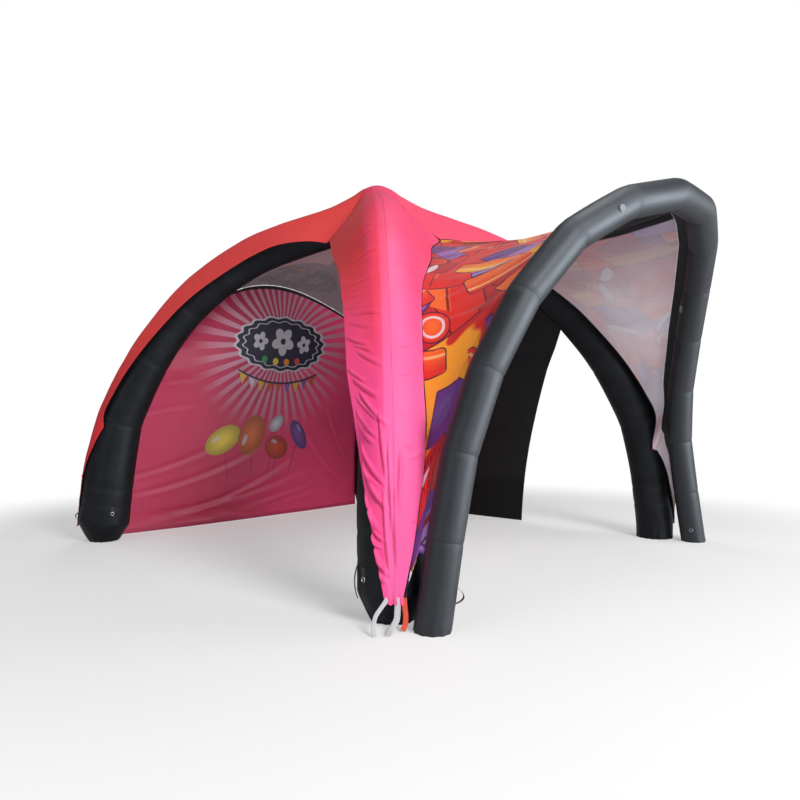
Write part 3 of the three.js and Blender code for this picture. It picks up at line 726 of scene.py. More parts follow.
RED = (0.72, 0.020, 0.012)
ORANGE = (0.90, 0.160, 0.015)
YELLOW = (0.95, 0.500, 0.030)
VIOLET = (0.120, 0.030, 0.220)
LILAC = (0.340, 0.180, 0.520)
WHITE = (0.82, 0.80, 0.82)
GREEN = (0.030, 0.260, 0.090)
BLUE = (0.060, 0.180, 0.520)
OUTLINE = (0.035, 0.008, 0.030)


def laid_over(shade, colour, far, body, show=1.0, outline=0.012):
    """A shape with a thin dark outline over a colour. far is the distance outside it, in metres."""
    edged = shade.mix((far + outline).step(-0.003, 0.003), body, OUTLINE)
    return shade.mix(far.step(0.003, -0.003) * show, colour, edged)


def confetti(shade, u, v):
    """A crowded print of tiles, ribbons, discs, fluted bars and leaves over a red ground."""
    ground = shade.noise(1.2, distortion=0.8, at=shade.vector(u, v))
    colour = shade.ramp(ground, [(0.32, (0.30, 0.006, 0.010)), (0.45, RED), (0.64, RED), (0.66, ORANGE)])
    colour = shade.mix(u.step(2.1, 1.7) * ground.step(0.420, 0.435), colour, (0.93, 0.36, 0.018))

    tiles = Cells(shade, u, v, 0.56, 4.0)
    x, y = tiles.turned()
    body = tiles.colours(0.1, x.step(-0.02, 0.02), [RED, ORANGE, RED, LILAC],
                         [(0.42, 0.010, 0.008), RED, (0.50, 0.012, 0.010), VIOLET])
    body = shade.mix((x + 0.02).abs().step(0.016, 0.010), body, (0.25, 0.006, 0.006))
    colour = laid_over(shade, colour, bar(x, y, 0.30, 0.21, 0.02), body)

    ribbons = Cells(shade, u, v, 0.80, 5.0)
    x, y = ribbons.turned()
    bow = y - (x * 6.0).sin() * 0.055
    body = shade.mix((bow / 0.055).fraction().step(0.15, 0.75), VIOLET, LILAC)
    body = shade.mix((bow - 0.03).abs().step(0.013, 0.005) * 0.55, body, (0.60, 0.45, 0.75))
    colour = laid_over(shade, colour, bar(x, bow, 0.38, 0.085, 0.03), body, ribbons.random(0.2).step(0.30, 0.31))

    discs = Cells(shade, u, v, 0.86, 1.0)
    size = discs.random(0.3) * 0.05 + 0.12
    far = (discs.x * discs.x + discs.y * discs.y).root()
    body = discs.colours(0.4, (far / size).step(0.1, 1.0), [ORANGE, YELLOW, RED, LILAC],
                         [RED, ORANGE, (0.38, 0.008, 0.010), VIOLET])
    ring = ((far / size) - 0.62).abs().step(0.09, 0.07)
    body = shade.mix(ring * 0.8, body, shade.palette(discs.random(0.5), [WHITE, YELLOW, RED, ORANGE]))
    colour = laid_over(shade, colour, far - size, body, discs.random(0.6).step(0.35, 0.36))

    bars = Cells(shade, u, v, 0.66, 2.0, 0.7)
    x, y = bars.turned()
    body = bars.colours(0.6, (y + 0.02).step(-0.12, 0.12), [YELLOW, ORANGE, YELLOW, RED],
                        [ORANGE, RED, (0.85, 0.30, 0.015), ORANGE])
    grooves = ((y / 0.042).fraction() - 0.5).abs().step(0.36, 0.49)
    body = shade.mix(grooves * 0.45, body, (0.62, 0.10, 0.008))
    body = shade.mix((y + 0.055).abs().step(0.020, 0.006) * 0.5, body, (1.0, 0.80, 0.35))
    colour = laid_over(shade, colour, bar(x, y, 0.30, 0.125, 0.045), body, bars.random(0.7).step(0.30, 0.31))

    leaves = Cells(shade, u, v, 0.46, 3.0)
    x, y = leaves.turned()
    body = shade.palette(leaves.random(0.9), [WHITE, GREEN, WHITE, BLUE, WHITE, VIOLET])
    body = shade.mix(y.step(-0.004, 0.004), body, WHITE)
    far = oval(x, y - x * x * 0.8, 0.17, 0.050) * 0.05
    return laid_over(shade, colour, far, body, leaves.random(0.8).step(0.58, 0.59), 0.006)


def awning_cloth(outside):
    """The awning's print, and its paler inner side, near black beside the arch's top."""
    shade = Shade("awning_print" if outside else "awning_inside", specular=0.4, sheen=0.15)
    u = shade.attribute("pu")
    colour = confetti(shade, u, shade.attribute("pv"))
    if not outside:
        # Print that shows through from the other side, pale and uneven, with painted shade that darkens it higher up
        haze = shade.noise(1.5, 3.0, 0.6)
        pale = shade.mix(haze, (0.66, 0.60, 0.65), (0.86, 0.84, 0.90))
        shaded = shade.mix(haze, (0.27, 0.23, 0.27), (0.40, 0.35, 0.39))
        # Painted shade: darker above about 2.4 m, towards the arch's top
        pale = shade.mix(shade.split(shade.at)[2].step(2.4, 3.0), pale, shaded)
        colour = shade.mix(haze.step(0.30, 0.75) * 0.18 + 0.72, colour, pale)
        # Near black beside the highest part of the arch, on this side only
        near_black_by_arch = shade.attribute("rim").step(0.70, 0.69) * u.step(4.48, 4.45) * u.step(2.9, 3.1)
        colour = shade.mix(near_black_by_arch, colour, (0.002, 0.002, 0.003))
        shade.set("Specular IOR Level", near_black_by_arch * -0.32 + 0.4)
    weave(shade)
    return shade.finish(colour, shade.noise(4.0, 3.0) * 0.14 + 0.36)


BADGE = (0.14, 2.29)          # along the wall and up
BADGE_HALF = (0.70, 0.33)
RAYS = 44
BALLOONS = (-0.03, 1.04)
GARLAND_HALF = 0.66
FLAG = 0.145
INK = (0.60, 0.57, 0.62)


def flower(x, y, size, turn):
    """1 inside a flower with five round petals."""
    angle = y.arctan2(x) + turn
    edge = ((angle * 2.5).cos().abs() * 0.42 + 0.58) * size
    return ((x * x + y * y).root() - edge).step(0.006, -0.006)


def badge(shade, x, y, colour, body, ink):
    """A scalloped badge with three flowers over an arc of coloured dots."""
    rx, ry = BADGE_HALF
    far = oval(x, y, rx, ry) + ((y / ry).arctan2(x / rx) * 18).cos() * 0.035
    colour = shade.mix(far.step(0.075, 0.055), colour, ink)
    colour = shade.mix(far.step(0.012, -0.004), colour, body)
    colour = shade.mix((far + 0.13).abs().step(0.020, 0.012), colour, ink)
    for cx, cy, size in ((0.0, 0.04, 0.185), (-0.36, 0.02, 0.120), (0.36, 0.02, 0.120)):
        colour = shade.mix(flower(x - cx, y - cy, size, 0.3 + cx), colour, ink)
        heart = oval(x - cx, y - cy, size * 0.22, size * 0.22).step(0.05, -0.05)
        colour = shade.mix(heart, colour, body)
    for k, dot in enumerate(((0.03, 0.30, 0.09), (0.80, 0.62, 0.05), (0.80, 0.28, 0.03), (0.70, 0.06, 0.05))):
        cx = -0.27 + 0.18 * k
        cy = -0.225 + 0.9 * cx * cx * 0.35
        colour = shade.mix(oval(x - cx, y - cy, 0.045, 0.045).step(0.06, -0.06), colour, dot)
    return colour


def garland(shade, x, y, colour):
    """Small flags on a cord that hangs under the badge."""
    sag = y + 0.50 - x * x * 0.34
    ends = x.abs().step(GARLAND_HALF, GARLAND_HALF - 0.02)
    cell = (x / FLAG) + 0.5
    local = (cell.fraction() - 0.5) * FLAG
    flag = (local.abs() + (-sag) * 0.42).step(0.062, 0.056) * sag.step(0.004, -0.004) * ends
    tint = shade.palette(shade.random(shade.vector(cell.floor(), 0.0), 4.0), [
        INK, (0.10, 0.03, 0.16), (0.66, 0.44, 0.05), (0.56, 0.10, 0.03), (0.22, 0.10, 0.34)])
    colour = shade.mix(flag, colour, tint)
    return shade.mix(sag.abs().step(0.016, 0.010) * ends, colour, (0.03, 0.015, 0.05))


def balloons(shade, x, y, colour):
    """A bunch of balloons on strings, about a middle point."""
    bunch = (
        (-0.60, 0.02, 0.26, 0.15, 0.5, (0.70, 0.52, 0.06)),
        (0.62, 0.06, 0.24, 0.12, -0.9, (0.20, 0.09, 0.34)),
        (0.24, -0.10, 0.20, 0.16, -0.3, (0.55, 0.06, 0.03)),
        (-0.18, 0.07, 0.27, 0.19, 1.2, (0.62, 0.14, 0.04)),
        (0.20, 0.22, 0.13, 0.09, 0.8, (0.55, 0.55, 0.60)),
    )
    foot = -0.52
    for cx, cy, *_ in bunch:
        gx, gy = x - cx, y - cy
        string = (gx + (gy - cy) * cx * 0.35 * gy.sign()).abs().step(0.012, 0.006)
        string = string * gy.step(0.0, -0.02) * gy.step(foot - cy, foot - cy + 0.1)
        colour = shade.mix(string * 0.5, colour, (0.10, 0.03, 0.08))
    for cx, cy, rx, ry, tilt, tint in bunch:
        bx, by = turned(x - cx, y - cy, tilt)
        egg = oval(bx, by * (1.0 + cx * 0.1), rx, ry)
        body = shade.mix(egg.step(-0.9, 0.1), dimmer(tint, 1.15), dimmer(tint, 0.6))
        shine = oval(bx + rx * 0.35, by - ry * 0.4, rx * 0.28, ry * 0.16).step(0.1, -0.2)
        colour = shade.mix(egg.step(0.03, -0.03), colour, shade.mix(shine * 0.6, body, INK))
    return colour


def wall_cloth(name):
    """Raspberry cloth with pale rays round a badge, a garland of flags and a bunch of balloons."""
    shade = Shade(name, specular=0.28, sheen=0.2)
    along = shade.attribute("pu")
    up = shade.attribute("pv")
    cloud = shade.noise(1.6, 3.0, 0.5)
    colour = shade.mix(up.step(0.4, 2.6), (0.60, 0.036, 0.112), (0.42, 0.018, 0.070))
    # Painted light: brighter towards the back leg, making up for the shade that the front cover casts on that part of
    # the wall
    colour = shade.mix(along.step(-0.6, 1.2) * 0.95, colour, (1.0, 0.075, 0.225))
    colour = shade.mix(cloud.step(0.4, 0.8) * 0.3, colour, (0.70, 0.055, 0.15))
    x, y = along - BADGE[0], up - BADGE[1]
    far = (x * x + y * y * 1.25).root()
    angle = y.arctan2(x)
    turn = angle * (RAYS / (2 * math.pi)) + (angle * 3).sin() * 0.12
    ray = (turn.fraction() - 0.5).abs().step(0.26, 0.22)
    fade = far.step(1.42, 0.80) * 0.62 + far.step(1.0, 0.5) * 0.2
    colour = shade.mix(ray * fade, colour, (0.60, 0.36, 0.47))
    colour = badge(shade, x, y, colour, (0.018, 0.012, 0.040), INK)
    colour = garland(shade, x, y, colour)
    colour = balloons(shade, along - BALLOONS[0], up - BALLOONS[1], colour)
    weave(shade)
    return shade.finish(shade.mix(up.step(0.062, 0.056) * 0.4, colour, (0.30, 0.02, 0.07)), cloud * 0.1 + 0.46)


def roof_cloth(name, base, body, ink, show):
    """Thin white cloth with the badge, which shows faintly from below."""
    shade = Shade(name, roughness=0.5, specular=0.3, sheen=0.2)
    colour = shade.mix(shade.noise(2.0, 3.0, 0.5), *base)
    printed = badge(shade, shade.attribute("pu") * 1.15, shade.attribute("pv") * 1.15, colour, body, ink)
    weave(shade)
    return shade.finish(shade.mix(show, colour, printed))


ARCH_CLOTH = tube_cloth("arch_cloth", 0.62, 0.46)
LEG_CLOTH = tube_cloth("leg_cloth", 0.20, 0.42)
DARK = dark_cloth()
COVER_INSIDE = lining_side("cover_inside", (0.50, 0.30, 0.34))
STEEL = steel()
WHITE_WEBBING = webbing("white_webbing", (0.66, 0.67, 0.70))
BLACK_WEBBING = webbing("black_webbing", (0.030, 0.031, 0.034))
RIBBON = webbing("orange_ribbon", (0.88, 0.105, 0.055))
ROOF_OUTSIDE = roof_cloth("roof_print", ((0.80, 0.74, 0.78), (0.66, 0.56, 0.62)), (0.03, 0.02, 0.06),
                          (0.80, 0.78, 0.82), 0.85)
# The roof's inside is the same white cloth in painted shade: its colours are much darker than outside, standing in for
# the shade under the roof
ROOF_PAINTED_SHADE_INSIDE = roof_cloth("roof_inside_painted_shade", ((0.38, 0.31, 0.33), (0.28, 0.23, 0.25)), (0.17, 0.165, 0.19),
                         (0.30, 0.285, 0.31), 0.55)


# ---- Straps that hang from the front hem ----

FINE_GRID = (620, 50)
PLAIN_GRID = (220, 30)
COVERS = {}
NEIGHBOURS = (("front", "right"), ("right", "back"), ("back", "left"), ("left", "front"))
for first, second in NEIGHBOURS:
    web = AWNING_WEB if first == "front" else 0.0
    for name, side, other in ((first, 1, second), (second, -1, first)):
        rows, columns = FINE_GRID if name == "front" else PLAIN_GRID
        COVERS[f"{name}_{other}"] = CoverPanel(LEG_SHAPES[name], side, web, rows, columns)

STRAP_SEAT = 0.0007
STRAP_THICKNESS = 0.0015
STRAP_SECTION = np.array([(-0.5, 0.0), (-0.25, -0.06), (0.25, -0.06), (0.5, 0.0), (0.5, 1.0), (0.25, 1.1),
                          (-0.25, 1.1), (-0.5, 1.0)])      # in widths and thicknesses


def hem_point(side):
    """Where a strap leaves the hem of the front cover: side is a share of the hem from the ridge."""
    panel = COVERS["front_left" if side < 0 else "front_right"]
    hem = raised(panel.points, SHEET + STRAP_SEAT)[0]
    return sample(hem, np.arange(len(hem)), abs(side) * (len(hem) - 1)) - np.array([0, 0, STRAP_SEAT])


def make_strap(name, side, width, material, steps):
    """A free strap. steps are offsets from the hem: to the side, to the front, and heights."""
    start = hem_point(side)
    points = np.array([start, *(start * (1, 1, 0) + (x, -ahead, height) for x, ahead, height in steps)])
    path = resample(through_points(points, 20), 60)
    tangent = unit(np.gradient(path, axis=0))
    across = unit(np.array([1.0, 0, 0]) - tangent * tangent[:, :1])
    front = unit(np.cross(tangent, across))[:, None, :]
    rings = path[:, None, :] + across[:, None, :] * STRAP_SECTION[:, :1] * width
    rings = rings + front * STRAP_SECTION[:, 1:] * STRAP_THICKNESS
    rings[..., 2] = np.maximum(rings[..., 2], 0.0012)
    piece = tube(name, name, rings, material)


make_strap("tie_strap_long", -0.7, 0.028, WHITE_WEBBING, [
    (-0.036, 0.022, 0.158), (-0.080, 0.058, 0.104), (-0.096, 0.108, 0.042), (-0.090, 0.146, 0.005)])
make_strap("tie_strap_short", 0.3, 0.040, WHITE_WEBBING, [
    (-0.002, 0.010, 0.120), (-0.008, 0.024, 0.072), (-0.046, 0.074, 0.026), (-0.072, 0.134, 0.005)])
make_strap("pull_ribbon", 0.95, 0.034, RIBBON, [
    (0.003, 0.008, 0.150), (0.009, 0.018, 0.090), (0.004, 0.030, 0.040), (-0.012, 0.044, 0.008)])


# ---- Leg tubes ----

LEG_SIDES = 56
FOOT_CHAMFER = 0.19
MITRE_START = 0.262
MITRE_GAP = 0.0004
LEG_RINGS = 200
MITRE_RINGS = 8
LEG_SEAMS = (0.40, 0.58, 1.30, 2.05, 2.75, 3.35, 3.95)
LEG_DRAW = (0.0045, 0.020)           # how deep a seam draws the tube in, and how far from it


def nearest_seam(s, seams):
    return np.min(np.abs(s[..., None] - np.array(seams)), axis=-1)


def drawn_in(s, seams, depth, width):
    """How far cross seams draw a tube in."""
    return depth * np.exp(-(nearest_seam(s, seams) / width) ** 2)


def make_leg(name):
    leg = LEG_SHAPES[name]
    start = float(np.interp(-MITRE_START, -leg.dense[:, 0], leg.rows))
    at = {key: value[:, None] for key, value in leg.at(leg.spaced(0, start, LEG_RINGS)).items()}
    s = at["s"]
    theta = np.linspace(0, 2 * math.pi, LEG_SIDES, endpoint=False)[None, :]
    foot = lerp(leg.base, 1.0, np.clip(s / FOOT_CHAMFER, 0, 1) ** 0.85)
    pleats = 0.007 * np.cos(15 * theta + 0.6 * np.sin(3 * theta)) * np.exp(-s / 0.06)
    sag = 0.0025 * ripple(theta, s, 0.9, 11)
    radius = at["radius"] * foot - drawn_in(s, LEG_SEAMS, *LEG_DRAW) + pleats + sag - 0.002
    at["out_up"] = at["out_up"] * smoothstep(s / 0.15)
    side, out = radius * np.sin(theta), radius * np.cos(theta)
    rings = leg.section(at, side, out)
    rings[0, :, 2] = 0.0
    # From the last ring the tube runs on to its mitre with the legs beside it
    reach = np.abs(side[-1]) + MITRE_GAP
    end = leg.at(np.interp(-reach, -leg.dense[:, 0], leg.rows))
    mitre = leg.point(reach, side[-1], end["height"] + end["out_up"] * out[-1])
    steps = np.linspace(0, 1, MITRE_RINGS + 1)[1:, None, None]
    rings = np.concatenate([rings, lerp(rings[-1], mitre, steps)])
    s = np.concatenate([s, np.repeat(s[-1:] + 0.1, MITRE_RINGS, axis=0)])
    seam = np.broadcast_to(nearest_seam(s, LEG_SEAMS), rings.shape[:2])
    tube(f"leg_tube_{name}", f"leg_{name}", rings, LEG_CLOTH, {"seam": seam})


for name in LEGS:
    make_leg(name)


# ---- Cover ----

def front_folds(half_width):
    """Creases of the front cover, in metres across the ridge (- on the left) and up from the hem: pulled in from
    the left edge, level near the top, and steeper and closer together towards the hem."""
    random = np.random.default_rng(7)
    strokes = []
    for k in range(34):
        up = lerp(0.22, 3.15, (k / 33) ** 1.1) + random.uniform(-0.03, 0.03)
        steep = float(smoothstep((2.5 - up) / 2.2))
        width = half_width(up)
        start = -width * random.uniform(0.78, 1.02)
        reach = width * random.uniform(0.50, 0.85)
        drop = reach * lerp(0.16, 1.75, steep) * random.uniform(0.8, 1.25)
        bend = lerp(random.uniform(-0.025, 0.025), -0.034, steep)
        strokes.append((start, up, start + reach, up - drop, bend, random.uniform(0.009, 0.014),
                        random.uniform(0.011, 0.018) * lerp(0.55, 1.15, steep)))
    for _ in range(16):
        # Short ones on the right panel
        up = random.uniform(0.4, 3.0)
        width = half_width(up)
        start = width * random.uniform(0.05, 0.65)
        strokes.append((start, up, start + width * random.uniform(0.22, 0.5), up + random.uniform(-0.10, 0.09),
                        random.uniform(-0.015, 0.015), random.uniform(0.009, 0.014), random.uniform(0.004, 0.007)))
    for x0, top, x1, foot in ((-0.07, 0.70, -0.015, 0.05), (-0.03, 1.02, 0.010, 0.30), (0.015, 0.74, 0.030, 0.10),
                              (0.05, 0.95, 0.025, 0.42), (-0.09, 1.20, -0.03, 0.66)):
        # Bunched where the draw cord gathers the foot
        strokes.append((x0, top, x1, foot, random.uniform(-0.014, 0.014), 0.012, 0.011))
    return strokes


def plain_folds(leg_name, half_width):
    """The few, shallower creases of the other arms."""
    random = np.random.default_rng({"right": 21, "back": 33, "left": 45}[leg_name])
    strokes = []
    for _ in range(16):
        side = random.choice((-1, 1))
        up = random.uniform(0.1, 2.9)
        width = half_width(up)
        reach = width * random.uniform(0.4, 0.8)
        strokes.append((side * width, up, side * (width - reach), up - reach * random.uniform(0.2, 1.0),
                        random.uniform(-0.03, 0.03), random.uniform(0.014, 0.022), random.uniform(0.003, 0.008)))
    return strokes


def crown_folds():
    """Faint pulls that run out from the crown, as up and across the ridge."""
    random = np.random.default_rng(5)
    strokes = []
    for _ in range(5):
        x = random.uniform(-0.28, 0.28)
        strokes.append((x * 0.3, 4.25, x, 3.1 + random.uniform(-0.2, 0.3), random.uniform(-0.03, 0.03), 0.03, 0.003))
    return strokes


COVER_LOOKS = {
    "front_right": cover_cloth("cover_bright_pink", PINK, HOT_PINK),
    "front_left": cover_cloth("cover_rose", ROSE, CORAL, (1.1, 2.8), (PINK, HOT_PINK)),
    "left_front": cover_cloth("cover_coral", (0.70, 0.030, 0.040), (0.80, 0.062, 0.060), (0.6, 2.6)),
    "left_back": cover_cloth("cover_rose_left", RASPBERRY, CORAL),
    "right_front": cover_cloth("cover_pink_right", PINK, (0.93, 0.085, 0.17)),
    "back_right": cover_cloth("cover_pink_back", PINK, HOT_PINK),
    "back_left": cover_cloth("cover_rose_back", ROSE, CORAL),
}
HEM_DROP = 0.045
OFF_PRINT = 9.0             # so far along the badge's axes that a cover shows none of it


def make_cover(name):
    panel = COVERS[name]
    leg_name = name.split("_")[0]
    x = panel.across * panel.side
    y = panel.up

    def half_width(up):
        return float(np.interp(up, y[:, 0], panel.across[:, -1]))

    strokes = front_folds(half_width) if leg_name == "front" else plain_folds(leg_name, half_width)
    folds = fold_height(x, y, strokes + crown_folds())
    soft = 0.0030 * ripple(x, y, 0.5, 3) + 0.0012 * ripple(x, y, 0.16, 4)
    # The hem is gathered by its draw cord, and its frill hangs below it
    frill = np.exp(-y / 0.05)
    hem = 0.007 * np.sin(x * 2 * math.pi / 0.040 + 1.0 + 8 * y) * frill + 0.006 * frill
    near_valley = smoothstep((4.3 - y) / 0.6)
    points = raised(panel.points, np.maximum((folds + soft + 0.004) * near_valley + hem, -0.001)[..., None])
    points[..., 2] -= (HEM_DROP + 0.005 * np.sin(x * 2 * math.pi / 0.033)) * np.exp(-y / 0.10)
    slot, outside = ("roof", ROOF_OUTSIDE) if name == "right_back" else ("cover", COVER_LOOKS[name])
    off = np.full(x.shape, OFF_PRINT)
    sew(f"cover_cloth_{name}", f"cover_{name}", slot, points, [outside, COVER_INSIDE],
        {"across": x, "up": y, "pu": off, "pv": off, "fold": folds}, "stretched", [f"leg_tube_{leg_name}"])


for name in COVERS:
    make_cover(name)


# ---- Walls ----

def wall_line(leg, side, row):
    at = leg.at(row)
    beside = side * (at["radius"] + WALL_SEAT)
    low = leg.section(at, beside, 0.0)
    high = leg.section(at, side * (at["cover"] - WALL_DROP / 2), at["lift"] - WALL_DROP)
    line = lerp(low, high, np.clip(row - (WALL_SEAM_ROW - 1), 0, 1)[:, None])
    foot = leg.point(at["along"], beside, FLOOR_CLEARANCE)
    return lerp(foot, line, np.clip(row, 0, 1)[:, None])


def side_axes(leg_name):
    """The way out of the tent's side that follows a leg, and the way along it."""
    angles = [math.radians(LEGS[leg_name]["azimuth"] + turn) for turn in (45, -45)]
    return [np.array([math.cos(angle), math.sin(angle), 0.0]) for angle in angles]


def wall_points(first, second, rows, columns, start=None):
    """The grid of a wall between two legs, and its print's coordinates: along the wall and up."""
    row = LEG_SHAPES[first].spaced(0, WALL_TOP_ROW, rows)
    left = wall_line(LEG_SHAPES[first], 1, row)
    right = wall_line(LEG_SHAPES[second], -1, row)
    out, sideways = side_axes(first)
    begin = np.zeros(rows) if start is None else start(left, right, sideways)
    share = begin[:, None] + (1 - begin[:, None]) * np.linspace(0, 1, columns)[None, :]
    points = lerp(left[:, None, :], right[:, None, :], share[..., None])
    belly = 4 * share * (1 - share)
    points[..., 2] += WALL_RISE * belly * ((row / WALL_TOP_ROW) ** 3)[:, None]
    local = points - CROWN
    pull = WALL_FOOT - WALL_LEAN * points[..., 2] - local @ out
    points += out * (pull * belly)[..., None]
    return points, (points - CROWN) @ sideways, points[..., 2]


def make_wall(side, legs, slot, grid, materials, strokes, waves, calm):
    """A wall's cloth, and its points. waves are height, length and seed; calm is 0 where its edges are sewn on."""
    points, along, up = grid
    bulge = fold_height(along, up, strokes)
    for height, wave, seed in waves:
        bulge = bulge + height * ripple(along, up, wave, seed)
    points = raised(points, (bulge * calm)[..., None])
    sew(f"wall_cloth_{side}", f"wall_{side}", slot, points, materials, {"pu": along, "pv": up}, "hung",
        [f"leg_tube_{leg_name}" for leg_name in legs])
    return points


LEFT_GRID = (110, 150)               # rows and columns
RIGHT_GRID = (100, 90)
# Along the wall (+ towards the back leg) and up: drapes swept up from the left foot, and a few short pulls
LEFT_WALL_FOLDS = [
    (-1.95, 0.10, 0.90, 1.05, -0.22, 0.040, 0.016),
    (-1.90, 0.20, 1.30, 0.80, -0.16, 0.034, 0.014),
    (-1.70, 0.06, 1.55, 0.62, -0.12, 0.030, 0.014),
    (-1.30, 0.05, 1.60, 0.45, -0.08, 0.026, 0.012),
    (-1.98, 0.42, 0.20, 1.10, -0.12, 0.038, 0.012),
    (-0.70, 0.04, 1.70, 0.30, -0.05, 0.024, 0.010),
    (-1.96, 0.62, -0.60, 1.05, -0.05, 0.032, 0.009),
    (1.75, 0.30, 0.50, 1.45, 0.16, 0.036, 0.011),
    (1.80, 0.55, 0.95, 1.75, 0.10, 0.030, 0.009),
    (-1.75, 1.35, -0.95, 1.50, 0.03, 0.028, 0.005),
    (-1.60, 1.70, -1.00, 1.80, 0.02, 0.024, 0.005),
]
left_grid = wall_points("back", "left", *LEFT_GRID)
across = np.linspace(0, 1, LEFT_GRID[1])
left_cloth = make_wall("left", ("left", "back"), "wall", left_grid,
                       [wall_cloth("wall_print"), wall_cloth("wall_inside")], LEFT_WALL_FOLDS,
                       [(0.006, 0.9, 8), (0.0015, 0.22, 9)], smoothstep(4 * across * (1 - across) / 0.12))


FREE_EDGE = (0.165, 0.13, 0.25)      # how far to the side by height, its square and so on, in shares of the reach


def free_edge(left, right, sideways):
    """The half wall's free edge swings from the middle of its side up to the right leg."""
    target = np.polynomial.polynomial.polyval(left[:, 2] / REACH, FREE_EDGE) * REACH
    start, end = (left - CROWN) @ sideways, (right - CROWN) @ sideways
    return np.clip((start - target) / (start - end), 0, 1)


RIGHT_WALL_FOLDS = [
    (0.60, 0.05, -1.70, 0.55, 0.10, 0.034, 0.012),
    (0.66, 0.20, -1.60, 1.10, 0.14, 0.040, 0.012),
    (0.74, 0.90, -1.30, 2.10, 0.12, 0.040, 0.010),
    (-1.90, 0.15, -0.20, 0.70, -0.08, 0.036, 0.010),
]
right_grid = wall_points("right", "back", *RIGHT_GRID, free_edge)
right_cloth = make_wall("right", ("back", "right"), "dark_cloth", right_grid, [DARK, DARK], RIGHT_WALL_FOLDS,
                        [(0.005, 0.8, 14)], smoothstep(np.linspace(1, 0, RIGHT_GRID[1]) / 0.1))


BAND_THICKNESS = 0.0025


def make_wall_band(side, points):
    """The dark band inside the top of a wall."""
    top, below = points[-1], points[-2]
    strip = top + unit(below - top) * np.linspace(WALL_BAND, 0, 5)[:, None, None]
    near_black_by_arch = raised(strip, -SHEET - BAND_THICKNESS)
    sew(f"wall_band_cloth_{side}", f"wall_band_{side}", "dark_cloth", near_black_by_arch, [DARK, DARK], {}, "hung",
        [f"wall_cloth_{side}"], thickness=BAND_THICKNESS)


make_wall_band("left", left_cloth)
make_wall_band("right", right_cloth)


# ---- Roof panels ----

ROOF_GRID = (99, 44)
ROOF_PRINT = 1.36                    # how far out of the crown the roof print's middle is


def between(inner, outer, columns):
    """Rows of points between two lines that run side by side, with a gap at each, and their shares of the way."""
    gap = SEAM_GAP / np.linalg.norm(outer - inner, axis=1)
    share = gap[:, None] + (1 - 2 * gap[:, None]) * np.linspace(0, 1, columns)[None, :]
    points = lerp(inner[:, None, :], outer[:, None, :], share[..., None])
    return points, share, np.linspace(0, 1, len(inner))[:, None]


def seam_line(first, second, start_row, count):
    """The free edges of two covers that face each other, from one leg to the other; the middle point is the corner."""
    halves = []
    for panel in (COVERS[f"{first}_{second}"], COVERS[f"{second}_{first}"]):
        line = panel.edge[panel.row[:len(panel.edge)] >= start_row]
        halves.append(resample(line, count // 2 + 1))
    return np.vstack([halves[0], halves[1][-2::-1]])


def make_roof(side, first, second, top):
    """A roof panel between two covers and the top line of a wall."""
    rows, columns = ROOF_GRID
    inner = seam_line(first, second, WALL_TOP_ROW, rows)
    top = resample(top, 400)
    outer = sample(top, np.linspace(0, 1, len(top)), np.linspace(*WALL_TOP_SPAN, rows))
    outer[:, 2] += WALL_DROP
    points, across, along = between(inner, outer, columns)
    points[..., 2] += ROOF_BILLOW * 16 * across * (1 - across) * along * (1 - along)
    out, sideways = side_axes(first)
    pu = -((points - CROWN) @ sideways)
    pv = (points - CROWN) @ out - ROOF_PRINT
    pulls = [(x, 0.42, x * 0.55, -0.45, 0.02 * x, 0.03, 0.006) for x in np.linspace(-0.9, 0.9, 9)]
    lift = fold_height(pu, pv, pulls) * smoothstep(np.linspace(0, 1, columns) / 0.1)
    sew(f"roof_cloth_{side}", f"roof_{side}", "roof", raised(points, lift[..., None]), [ROOF_OUTSIDE, ROOF_PAINTED_SHADE_INSIDE],
        {"pu": pu, "pv": pv}, "stretched", [f"cover_cloth_{first}_{second}"])


make_roof("left", "back", "left", left_grid[0][-1])
make_roof("right", "right", "back", wall_points("right", "back", *RIGHT_GRID)[0][-1])


# ---- Awning arch ----

def arch_frame(rows):
    angle = math.radians(AWNING_AZIMUTH)
    out, side, up = rows.T
    return np.stack([out * math.cos(angle) - side * math.sin(angle),
                     out * math.sin(angle) + side * math.cos(angle), up], axis=1) + CROWN


ARCH_SEAM_COUNT = 14
ARCH_KINK = 0.85            # how straight the tube is between its seams
ARCH_SIDES = 40
ARCH_RINGS = 420
ARCH_DRAW = (0.0035, 0.016)


def kinked_line(line):
    """Between its seams each stretch of the tube is straighter than the arch."""
    knots = np.linspace(0, len(line) - 1, ARCH_SEAM_COUNT + 2)
    chords = sample(line[knots.round().astype(int)], knots, np.arange(len(line)))
    return lerp(line, chords, ARCH_KINK)


ARCH_LINE = kinked_line(resample(through_points(arch_frame(ARCH_ROWS), 60), 1201))
ARCH_LENGTH = float(lengths(ARCH_LINE)[-1])
ARCH_SEAMS = tuple(np.linspace(0, ARCH_LENGTH, ARCH_SEAM_COUNT + 2)[1:-1])


def arch_at(share):
    return sample(ARCH_LINE, np.linspace(0, 1, len(ARCH_LINE)), share)


